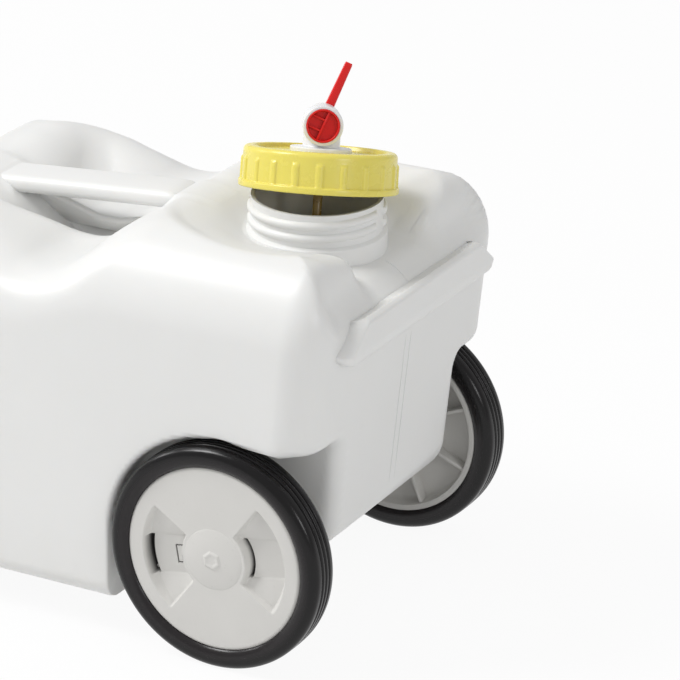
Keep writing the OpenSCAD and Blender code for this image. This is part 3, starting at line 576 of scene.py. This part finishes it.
ridge = {"x": 247.5, "low": 222.0, "half": 110.0, "back": 226.0, "inner": 229.5, "mid": 14.0, "foot": 0.36,
         "footOver": 6.0, "roundFrom": 4.0, "roundOver": 8.0, "endHeight": 0.72,
         "reach": ((0, 1.5, 4, 7.5, 11, 30), (105, 111, 115, 116.5, 114, 88))}


# the bumper ridge: a section of the end wall's bar carried across the tank; its ends slant with height, and
# round off like the quarter of an ellipse above a low foot that fades out round the tank's corner
def bumperRidge():
    face, low, half, back, inner = (ridge[k] for k in ("x", "low", "half", "back", "inner"))
    section = rounded([[back, low + 3], [face - 1.5, low], [face, low + 9], [face, low + 26.6],
                       [face - 4.2, low + 29.2], [face - 7.0, low + 27.2], [face - 12, low + 25.5],
                       [back, low + 24]], [0, 3.6, 4.0, 3.4, 2.2, 1.6, 3.0, 0], 7, closed=True)
    q = np.concatenate([np.linspace(0, 24, 40), np.linspace(25, 60, 12), np.linspace(64, half, 10)])
    q = np.concatenate([q, 2 * half - q[-2::-1]])[:, None]
    away = np.minimum(q, 2 * half - q)
    short = 1 - np.clip((away - ridge["roundFrom"]) / ridge["roundOver"], 0, 1)
    quarter = np.sqrt(np.clip(1 - short ** 2, 0, 1))
    swell = ridge["foot"] * smooth(away / ridge["footOver"]) + (1 - ridge["foot"]) * quarter
    x, z = section[None, :, 0], section[None, :, 1]
    y = (q / half - 1) * np.interp(z - low, *ridge["reach"])
    x = np.where(x > inner, inner + (x - inner) * swell, x)
    middle = low + ridge["mid"]
    z = middle + (z - middle) * (ridge["endHeight"] + (1 - ridge["endHeight"]) * swell)
    return shutTube(np.stack([x, y, z], -1))


web = {"height": 25.0, "bend": -11.5, "rise": 0.28, "frontBend": 6.0, "frontRise": 0.22, "from": 30.0,
       "to": -64.0, "reach": 17.0, "foot": 9.0, "steps": 50}


# the web in the finger pocket: a lip over the pocket's hollow that falls to the floor behind it; its crest
# follows the rise of the scoop
def pocketWeb():
    n, reach = web["steps"], web["reach"]
    x = np.linspace(web["from"], web["to"], n)
    top = pocket["z"] + web["height"] + web["rise"] * np.maximum(web["bend"] - x, 0)
    top = top + web["frontRise"] * np.maximum(x - web["frontBend"], 0)
    floor = pocket["z"] + pocket["step"]
    # the lip's round front, then its back and what is buried in the floor
    y = np.array([-1.6, -2.4, -2.7, -2.5, -1.8, -0.8, 0.6, reach / 2, reach, reach, web["foot"]])
    lip = top[:, None] - np.array([4.6, 3.6, 2.4, 1.2, 0.4, 0.0, 0.3])
    back = 0.5 * (lip[:, -1:] + floor)
    z = np.concatenate([lip, back, np.tile(floor - np.array([1.5, 6, 4]), (n, 1))], 1)
    return shutTube(np.stack([np.broadcast_to(x[:, None], z.shape), np.broadcast_to(y, z.shape), z], -1))


# runs are side position, lowest and highest ray in degrees
bead = {"radius": 0.42, "thin": 0.2, "runs": ((-5.0, -62, 14), (2.6, -62, 14), (-1.0, 34, 56)), "steps": 70,
        "ease": 6, "onRidge": (-5.0, 2.6), "ridgeFrom": 7.0, "ridgeTo": 27.0, "sink": 0.45, "ridgeSteps": 20,
        "ridgeEase": 3}


# one fine bead along a path, thinner at both ends
def fineBead(path, ups, ease):
    last = len(path) - 1
    thin = bead["thin"]
    scale = np.interp(np.arange(last + 1), [0, ease, last - ease, last], [thin, 1, 1, thin])
    return sweep(path, ups, bead["radius"] * arc(0, 0, 1, 0, 330, 12), scale)


# beads along the mould's parting line: where rays in a lengthwise plane leave the tank, and on the ridge
def partingLine():
    parts = []
    for y, low, high in bead["runs"]:
        a = np.radians(np.linspace(low, high, bead["steps"]))
        out = np.stack([np.cos(a), 0 * a, np.sin(a)], -1)
        start = np.array([spine["front"], y, spine["low"] + spine["lift"]])
        parts.append(fineBead(rayHits(start, out), out, bead["ease"]))
    n = bead["ridgeSteps"]
    z = ridge["low"] + np.linspace(bead["ridgeFrom"], bead["ridgeTo"], n)
    for y in bead["onRidge"]:
        path = np.stack([np.full(n, ridge["x"] - bead["sink"]), np.full(n, y), z], 1)
        parts.append(fineBead(path, [1, 0, 0], bead["ridgeEase"]))
    return joined(*parts)


for make, sharp in ((partingLine, 60), (carryHandle, 60), (bumperRidge, 60), (pocketWeb, 50), (towGrip, 60)):
    makePiece(make.__name__, make(), tankFinish, "chassis", sharp=sharp)

neck = {"bore": 42.5, "wall": 45.5, "bead": 48.0, "beadHalf": 2.9, "base": 48.4, "top": 297.8,
        "upper": 290.2, "pitch": 8.9, "lift": 3.0, "foot": 272.0, "boreLow": 236.0, "baseLow": 246.0,
        "gap": 14.0, "gapAt": 8.0}


# the filler neck: a revolved wall with two thread beads that fade out at the mould's parting line
def fillerNeck():
    outer = [[neck["bore"], neck["boreLow"]], [neck["bore"], neck["top"]], [neck["wall"], neck["top"]]]
    down = np.linspace(neck["top"] - 1.2, neck["foot"] + 3.2, 90)
    wall = np.stack([np.full(len(down), neck["wall"]), down], 1)
    base = rounded([[neck["wall"], neck["foot"] + 2.8], [neck["base"], neck["foot"] + 1.2],
                    [neck["base"] + 0.4, neck["baseLow"]]], [0, 1.2, 0], 5)
    profile = np.concatenate([rounded(outer, 1.1, 5), wall, base])

    # each bead is a rounded ridge in height, lifted along a shallow helix and cut away at two gaps
    def beads(a, p):
        turn = np.degrees(a)
        z = p[..., 1]
        lift = ((turn - neck["gapAt"]) % 180) / 180 * neck["lift"] - neck["lift"] / 2
        away = np.abs((turn - neck["gapAt"] + 90) % 180 - 90)
        keep = smooth((away - neck["gap"] / 2) / 5)
        ridge = 0
        for k in (0, 1):
            d = np.abs(z - (neck["upper"] - k * neck["pitch"] + lift))
            ridge = ridge + np.sqrt(np.clip(1 - (d / neck["beadHalf"]) ** 2, 0, 1)) ** 1.2
        on = (p[..., 0] > neck["wall"] - 0.01) & (z > neck["foot"] + 4) & (z < neck["top"] - 1)
        return np.where(on, ridge * keep * (neck["bead"] - neck["wall"]), 0.0)

    points, faces = revolve(profile, 256, closed=False, bulge=beads)
    return points + np.array([axle[0], 0, 0]), faces


makePiece("fillerNeck", fillerNeck(), tankFinish, "chassis", sharp=55, outward=False)
print("tank done")


# wheels

wheel = {"radius": 80.5, "width": 28.0, "track": 291.0, "rim": 65.0, "face": 2.6, "turn": 10.0,
         "sectorIn": 25.0, "sectorOut": 55.4, "sectorHalf": 43.5, "depth": 7.4, "edgeDepth": 3.3,
         "bandHalf": 14.0, "dome": 23.0, "domeHigh": 2.05, "hub": 14.0, "hubIn": 55.0, "ribs": 8,
         "back": 15.2, "slotDepth": 11.6, "window": (49.8, 54.4), "slit": (26.0, 28.6), "clipAt": -28.0,
         "clipHalf": 6.2, "outer": 66.4, "edgeFrom": 63.4, "bore": 6.2, "well": 13.0, "wellR": 22.6}
tread = {"bulge": (7.5, 5.8), "square": (0.88, 1.0), "inset": 7.7, "start": 5.6, "grooves": (-4.7, 0.0, 4.7),
         "grooveWide": 0.8, "grooveDeep": 1.8, "crown": 0.25, "crownHalf": 9.4, "seat": 4.6}


# frame of a wheel: Z runs in along the axle from the tyre's outer face, X stays along the tank
def wheelFrame(side):
    origin = np.array([axle[0], side * wheel["track"] / 2, axle[2]])
    return origin, np.stack([[1.0, 0, 0], [0, 0, 1.0], [0, -side, 0]], 1)


# tyre: round sidewalls and a crowned tread with three grooves; a sidewall is part of a squared ellipse, the
# crown falls with the cube of the distance from the middle and each groove is a bell curve
def tyreShape():
    radius, w, rim, seat = wheel["radius"], wheel["width"], wheel["rim"], tread["seat"]
    wide, deep = tread["bulge"]
    lip = rounded([[rim - 0.2, seat], [rim + 0.3, 3.4], [rim + 1.2, 3.9]], [0, 0.4, 0], 4)
    bulge = arc(0, 0, 1, -152, -8, 36)
    bulge = np.sign(bulge) * np.abs(bulge) ** tread["square"] * [wide, deep] + [radius - tread["inset"], deep]
    side = np.concatenate([lip, bulge])
    across = np.linspace(tread["start"], w - tread["start"], 130)
    off = across - w / 2
    grooves = sum(np.exp(-((off - k) / tread["grooveWide"]) ** 2) for k in tread["grooves"])
    crown = tread["crown"] * np.abs(off / tread["crownHalf"]) ** 3
    middle = np.stack([radius - crown - tread["grooveDeep"] * grooves, across], 1)
    other = side[::-1] * [1, -1] + [0, w]
    inner = [[rim + 1.55, w - seat], [rim + 1.55, seat]]
    return revolve(np.concatenate([side, middle, other, inner]), 192)


# front of the rim as a depth over radius and angle: an hourglass face between two recessed sectors; each
# sector's floor is deep and flat across the middle and ramps up to its straight sides, and holds a latch slot
def rimFace():
    r = np.concatenate([np.linspace(22.0, 56.5, 150), np.linspace(57.0, wheel["outer"], 26)])
    a = np.radians(np.linspace(0, 360, 420, endpoint=False))
    rr, aa = np.meshgrid(r, a)
    turned = aa - math.radians(wheel["turn"])
    u, v = rr * np.cos(turned), rr * np.sin(turned)
    off = np.degrees(np.abs((turned + np.pi / 2) % np.pi - np.pi / 2))
    edge = (wheel["sectorHalf"] - off) / radian * rr
    inside = smooth(edge / 2.2) * smooth((wheel["sectorOut"] - rr) / 3.6)
    inside = inside * smooth((rr - wheel["sectorIn"] + 1.0) / 3.2)
    span = np.maximum(rr * math.sin(math.radians(wheel["sectorHalf"])) - wheel["bandHalf"], 2.5)
    ramp = np.clip((np.abs(v) - wheel["bandHalf"]) / span, 0, 1)
    depth = inside * (wheel["depth"] + (wheel["edgeDepth"] - wheel["depth"]) * ramp)
    # a shallow step beside the flat floor
    depth = depth - inside * 0.45 * smooth((np.abs(v) - wheel["bandHalf"] + 0.4) / 0.8) * (1 - ramp)
    band = smooth((wheel["bandHalf"] - np.abs(v)) / 0.7)
    # a window and a slit through the floors, and the square frame of a clip
    (in1, out1), (in2, out2) = wheel["window"], wheel["slit"]
    window = smooth((rr - in1) / 0.6) * smooth((out1 - rr) / 0.6) * band * (u < 0)
    slit = smooth((rr - in2) / 0.5) * smooth((out2 - rr) / 0.5) * band * (u > 0)
    clip = np.maximum(np.abs(u - wheel["clipAt"]) + 1.8, np.abs(v))
    clip = smooth((0.62 - np.abs(clip - wheel["clipHalf"])) / 0.3) * (u < wheel["clipAt"] + 4)
    # painted shade: the window, the slit and the clip frame's groove are marked to be darkened
    pit = np.clip(window + slit + 0.8 * clip, 0, 1)
    slots = np.clip(window + slit, 0, 1)
    depth = depth + (wheel["slotDepth"] - depth) * slots + 0.7 * clip
    # the rounded outer edge turns in under the tyre's bead
    z = wheel["face"] + depth + 0.09 * np.maximum(rr - wheel["edgeFrom"], 0) ** 2.6
    points = aroundZ(rr, aa, z).reshape(-1, 3)
    return (points, gridFaces(len(a), len(r), wrapU=True)), pit.ravel()


# back of the rim: barrel, web and hub revolved as one shell, with radial ribs
def rimBack():
    rim, hub, back, end, outer = (wheel[k] for k in ("rim", "hub", "back", "hubIn", "outer"))
    bore, well, wellR = wheel["bore"], wheel["well"], wheel["wellR"]
    inner = wheel["width"] - 2.0
    shell = rounded([[outer, 3.6], [outer, inner], [rim - 3.0, inner], [rim - 4.2, back], [hub + 1.0, back],
                     [hub, end], [bore, end], [bore, well], [wellR, well], [wellR, 3.2]],
                    [0, 0.8, 0.8, 3.0, 2.5, 1.0, 0, 0, 0, 0], 5)
    parts = [revolve(shell, 160, closed=False)]
    length = rim - 4 - hub
    for k in range(wheel["ribs"]):
        box = softBox(2.6, 10.4, length + 3, 0.7, 4)
        a = math.radians(360 * (k + 0.5) / wheel["ribs"])
        d, s = np.array([math.cos(a), math.sin(a), 0]), [-math.sin(a), math.cos(a), 0]
        parts.append(placed(box, d * (hub - 1.5) + [0, 0, back + 3.6], np.stack([s, [0, 0, 1.0], d], 1)))
    return joined(*parts)


# hub cap: a low dome that meets the face with a fine seam, and a soft six-sided boss in its middle
def hubCap():
    d, face = wheel["dome"], wheel["face"]
    r = np.concatenate([np.linspace(0, 9.5, 56), np.linspace(9.8, d - 0.1, 40)])
    a = np.radians(np.linspace(0, 360, 240, endpoint=False))
    rr, aa = np.meshgrid(r, a)
    six = rr * np.cos((aa + math.radians(18)) % (math.pi / 3) - math.pi / 6) / math.cos(math.pi / 6)
    boss = smooth((7.6 - six) / 2.0) * 0.8 - smooth((5.0 - six) / 2.2) * 0.45
    dome = wheel["domeHigh"] * (1 - (rr / d) ** 2.6) - 0.8 * smooth((rr - d + 1.3) / 1.2)
    # the skirt goes straight in from the dome's edge
    skirt = aroundZ(d - 0.06, a[:, None], np.array([face + 1.2, 9.0, wheel["well"]]))
    points = np.concatenate([aroundZ(rr, aa, face - dome - boss + 0.1), skirt], 1)
    return points.reshape(-1, 3), gridFaces(len(a), points.shape[1], wrapU=True)


for side, tag in ((-1, "near"), (1, "far")):
    origin, axes = wheelFrame(side)
    body = "wheel_" + tag
    tyre = tyreShape()
    far = np.hypot(tyre[0][:, 0], tyre[0][:, 1])
    worn = 1 - smooth((far - wheel["rim"] - 5.0) / 6.0)
    makePiece("tyre_" + tag + "_skin", placed(tyre, origin, axes), tyreFinish, body, ("tyre_" + tag,),
              sharp=50, marks={"worn": worn})
    face, pit = rimFace()
    back = rimBack()
    both = joined(face, back)
    # the face carries the painted shade marks, the back none
    marks = {"pit": np.concatenate([pit, np.zeros(len(back[0]))])}
    makePiece("rim_" + tag + "_moulding", placed(both, origin, axes), wheelFinish, body, ("rim_" + tag,),
              sharp=38, marks=marks)
    cap = hubCap()
    makePiece("hub_cap_" + tag + "_dome", placed(cap, origin, axes), wheelFinish, body, ("hub_cap_" + tag,),
              sharp=38, marks={"pit": np.zeros(len(cap[0]))})
print("wheels done")


# cap and tap

capSet = {"tilt": 16.1, "heading": -73.0, "pivot": 78.0, "height": 28.0, "flange": 55.0, "wall": 52.7,
          "bore": 49.6, "flangeH": 4.5, "edge": 6.4, "rim": 7.0, "recess": 3.0, "plate": 3.0, "hole": 9.2,
          "ribs": 20, "ribWide": 2.5, "ribProud": 1.2, "ribAt": -62.4, "closedZ": 278.0}
tap = {"flange": 21.2, "flangeT": 2.5, "flangeZ": 26.5, "lip": 1.3, "lipIn": 20.1, "stem": 12.75,
       "shank": 9.0, "shankIn": 6.0, "shankLow": 8.0, "axisZ": 44.4, "barrel": 13.75, "length": 38.0,
       "plug": 11.5, "bore": 10.1, "cupDeep": 3.6, "cupProud": 0.8, "collar": 5.2, "heading": -61.0,
       "lean": 21.0, "lever": 45.0, "leverW": 5.2, "leverD": 7.0}

heading = math.radians(capSet["heading"])
front = np.array([math.cos(heading), math.sin(heading), 0])
pole = np.array([axle[0], 0, capSet["closedZ"]]) - capSet["pivot"] * front
tip = np.array(Matrix.Rotation(math.radians(capSet["tilt"]), 3, Vector(np.cross(front, [0, 0, 1.0]))))
capOrigin = pole + tip @ (np.array([axle[0], 0, capSet["closedZ"]]) - pole)
th = math.radians(tap["heading"])
across, along = [-math.sin(th), math.cos(th), 0], [math.cos(th), math.sin(th), 0]
barrelAxes = tip @ np.stack([across, [0, 0, 1.0], along], 1)
barrelOrigin = capOrigin + tip @ np.array([0, 0, tap["axisZ"]])


# the cap: a cup with a flange, a rounded top edge and a raised rim; grip ribs swell the wall
def fillerCap():
    c = capSet
    wall, flange, bore, hole, high = (c[k] for k in ("wall", "flange", "bore", "hole", "height"))
    low = c["flangeH"]
    top, under = high - c["recess"], high - c["recess"] - c["plate"]
    profile = rounded([[hole, top], [wall - c["rim"] - 1.2, top], [wall - c["rim"], high], [wall, high],
                       [wall + 0.3, low + 0.2], [flange, low], [flange, 0], [bore + 0.5, 0], [bore, 1.0],
                       [bore, under], [hole, under]],
                      [0, 0.8, 1.2, c["edge"], 0.8, 1.2, 1.2, 0.4, 0.4, 1.5, 0], 8)
    # the wall's long straight run gets more points so that the ribs can start and stop on it
    run = np.where((np.abs(profile[:-1, 0] - wall) < 0.6) & (np.abs(np.diff(profile[:, 1])) > 6))[0][0]
    extra = profile[run] + (profile[run + 1] - profile[run]) * np.linspace(0, 1, 26)[1:-1, None]
    profile = np.concatenate([profile[:run + 1], extra, profile[run + 1:]])

    # each rib is nearly half an ellipse across, and fades out at the flange and below the top edge
    def ribs(a, p):
        step = 360 / c["ribs"]
        off = np.abs((np.degrees(a) - c["ribAt"] + step / 2) % step - step / 2) / radian * wall
        swell = np.sqrt(np.clip(1 - (off / c["ribWide"]) ** 2, 0, 1)) ** 0.9
        z = p[..., 1]
        keep = smooth((z - low + 0.4) / 0.8) * smooth((high - c["edge"] - 0.4 - z) / 2.4)
        on = (p[..., 0] > wall - 1.4) & (z > low - 0.2)
        return np.where(on, swell * keep * c["ribProud"], 0.0)

    return revolve(profile, 720, bulge=ribs)


makePiece("fillerCap", placed(fillerCap(), capOrigin, tip), capFinish, "cap", ("filler_cap",))


# tap body: stem, shank and a flange with a lip round its gasket, revolved, and a hollow barrel across the top
def tapBody():
    t = tap
    z0, z1 = t["flangeZ"], t["flangeZ"] + t["flangeT"]
    lip, shank = z0 - t["lip"], t["shank"]
    stem = rounded([[t["shankIn"], t["shankLow"]], [shank, t["shankLow"]], [shank, z0], [t["lipIn"], z0],
                    [t["lipIn"], lip], [t["flange"], lip], [t["flange"], z1], [t["stem"], z1],
                    [t["stem"], t["axisZ"] - 6]], [0, 0.6, 0, 0, 0, 0.3, 0.8, 1.6, 0], 6)
    half, inner = t["length"] / 2, t["plug"] + 0.1
    barrel = rounded([[inner, -half], [t["barrel"], -half], [t["barrel"], half], [inner, half]],
                     [0.0, 1.2, 1.2, 0.0], 6, closed=True)
    return joined(placed(revolve(stem, 120, closed=False), capOrigin, tip),
                  placed(revolve(barrel, 120), barrelOrigin, barrelAxes))


# tap plug: a cup that fills the barrel, ribs across its mouth, a collar behind the barrel and the lever
def tapPlug():
    t = tap
    half = t["length"] / 2
    plug, bore = t["plug"], t["bore"]
    rear, mouth, floor = -half - t["collar"], half + t["cupProud"], half - t["cupDeep"]
    cup = rounded([[0, rear], [plug, rear], [plug, -half - 0.4], [plug - 0.02, mouth], [bore, mouth],
                   [bore, floor], [0, floor]], [0, 1.0, 0, 0.5, 0.5, 1.0, 0], 5)
    turn = np.array(Matrix.Rotation(math.radians(-t["lean"]), 3, "Z"))
    parts = [revolve(cup, 120)]
    upright, level = [[1.0, 0, 0], [0, 0, 1.0], [0, 1.0, 0]], [[0, 1.0, 0], [0, 0, 1.0], [-1.0, 0, 0]]
    rib = softBox(1.3, 4.0, 2 * bore, 0.3, 3)
    parts.append(placed(rib, [0, -bore, half - 1.9], np.stack(upright, 1)))
    short = softBox(1.2, 3.4, bore - 1.0, 0.3, 3)
    for s in (-1, 1):
        parts.append(placed(short, [0, s * 3.9, half - 2.2], np.stack(level, 1)))
    # the lever tapers outwards and is slightly rounded at its tip
    n = 30
    up = np.linspace(2.0, t["lever"], n)
    path = np.stack([0 * up, up, np.full(n, -half - 0.5 - t["leverD"] / 2)], 1)
    taper = 1.3 - 0.3 * (up / t["lever"])
    ends = np.sqrt(np.clip((t["lever"] - up) / 1.4, 0, 1)) * 0.12 + 0.88
    section = barSection(t["leverW"], t["leverD"] - 0.4, 0.9, 5)
    parts.append(sweep(path, [0, 0, 1], section, taper * ends))
    points, faces = joined(*parts)
    return points @ turn.T, faces


makePiece("tapBody", tapBody(), tapFinish, "cap", ("tap_body",))
makePiece("tapPlug", placed(tapPlug(), barrelOrigin, barrelAxes), plugFinish, "tap_lever", ("tap_plug",))

tube = {"bore": 2.0, "outer": 3.2, "low": -97.0, "high": 12.0}


# breather tube: a thin-walled tube out of the shank, cut square
def breatherTube():
    bore, outer, low, high = tube.values()
    profile = rounded([[bore, low], [outer, low], [outer, high], [bore, high]], 0.2, 3, closed=True)
    return placed(revolve(profile, 48), capOrigin, tip)


makePiece("breatherTube", breatherTube(), tubeFinish, "cap", ("breather_tube",))
print("cap and tap done")

# CAD nodes that stay get their finish
for node, finish in {"axle": steelFinish, "washer_near": washerFinish, "washer_far": washerFinish,
                     "retainer_near": ringFinish, "retainer_far": ringFinish, "cap_seal": sealFinish,
                     "tap_gasket": sealFinish, "tap_orings": sealFinish, "tap_nut": tapFinish}.items():
    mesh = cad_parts[node].data
    mesh.materials.clear()
    mesh.materials.append(finish)


# stage, light and camera

stage = {"half": 6.0, "white": 0.93, "sky": 0.57}


# a wide pale floor; most of what the camera, a gloss or a clear piece sees of it is plain white, the rest
# keeps the shadow
def paleFloor():
    f = Finish("paleFloor")
    tone = f.blend(f.noise(3.0, 2.0), (0.80, 0.80, 0.80), (0.82, 0.82, 0.82))
    f.body(colour=tone, roughness=0.9, specular=0.1)
    white = f.node("Emission", {}, {"Color": (1.0, 1.0, 1.0), "Strength": 1.0})
    seen = f.node("LightPath", out="Is Camera Ray") + f.node("LightPath", out="Is Glossy Ray")
    seen = (seen + f.node("LightPath", out="Is Transmission Ray")) * stage["white"]
    mixed = f.node("MixShader", {}, {0: seen, 1: Wire(f, f.shader.outputs[0]), 2: white})
    f.tree.links.new(mixed.socket, f.out.inputs[0])
    return f.material


corners = stage["half"] * np.array([(-1, -1, 0), (1, -1, 0), (1, 1, 0), (-1, 1, 0)])
floorMesh = bpy.data.meshes.new("floor")
floorMesh.from_pydata(corners.tolist(), [], [(0, 1, 2, 3)])
floorMesh.materials.append(paleFloor())
floor = bpy.data.objects.new("floor", floorMesh)
bpy.context.scene.collection.objects.link(floor)

# an even sky for light, and a plain one for the camera
world = bpy.data.worlds.new("studio")
bpy.context.scene.world = world
world.use_nodes = True
sky = world.node_tree
backdrop = sky.nodes["Background"]
backdrop.inputs["Color"].default_value = (1, 1, 1, 1)
backdrop.inputs["Strength"].default_value = stage["sky"]
plain = sky.nodes.new("ShaderNodeBackground")
plain.inputs["Strength"].default_value = 1.0
path = sky.nodes.new("ShaderNodeLightPath")
swap = sky.nodes.new("ShaderNodeMixShader")
sky.links.new(path.outputs["Is Camera Ray"], swap.inputs[0])
sky.links.new(backdrop.outputs[0], swap.inputs[1])
sky.links.new(plain.outputs[0], swap.inputs[2])
sky.links.new(swap.outputs[0], sky.nodes["World Output"].inputs[0])


# a square lamp aimed at a point, with its side in metres and its power in watts
def areaLight(name, place, aim, size, power):
    data = bpy.data.lights.new(name, "AREA")
    data.size, data.energy = size, power
    lamp = bpy.data.objects.new(name, data)
    lamp.location = place
    lamp.rotation_euler = (Vector(aim) - Vector(place)).to_track_quat("-Z", "Y").to_euler()
    bpy.context.scene.collection.objects.link(lamp)


areaLight("key", (-1.6, -1.02, 2.62), (0.0, 0, 0.15), 1.1, 63)
areaLight("fill", (2.4, -1.0, 1.1), (0.1, 0, 0.15), 0.6, 9.0)
areaLight("side", (-2.4, -0.5, 1.3), (0.1, 0, 0.1), 0.5, 8.0)

# the fitted camera: angles in degrees, focal length in pixels, and the axle's place before it in millimetres
view = {"azimuth": 27.65, "pitch": 22.2, "roll": 0.86, "focal": 4000.0, "shift": (-18.42, -101.16, 2809.35),
        "pixels": 680, "sensor": 36.0}
az, el, ro = (math.radians(view[k]) for k in ("azimuth", "pitch", "roll"))
right = np.array([math.cos(az), math.sin(az), 0])
away = np.array([math.sin(az) * math.cos(el), -math.cos(az) * math.cos(el), math.sin(el)])
up = np.cross(away, right)
right2 = math.cos(ro) * right + math.sin(ro) * up
up2 = -math.sin(ro) * right + math.cos(ro) * up
spot = axle - view["shift"][0] * right2 - view["shift"][1] * up2 + view["shift"][2] * away
lens = bpy.data.cameras.new("camera")
lens.sensor_width = view["sensor"]
lens.lens = view["focal"] / view["pixels"] * view["sensor"]
lens.clip_end = 20
camera = bpy.data.objects.new("camera", lens)
turn = np.eye(4)
turn[:3, :3] = np.stack([right2, up2, away], 1)
turn[:3, 3] = spot * mm
camera.matrix_world = Matrix(turn.tolist())
bpy.context.scene.collection.objects.link(camera)
bpy.context.scene.camera = camera
bpy.context.scene.view_settings.view_transform = "Standard"
print("stage done")
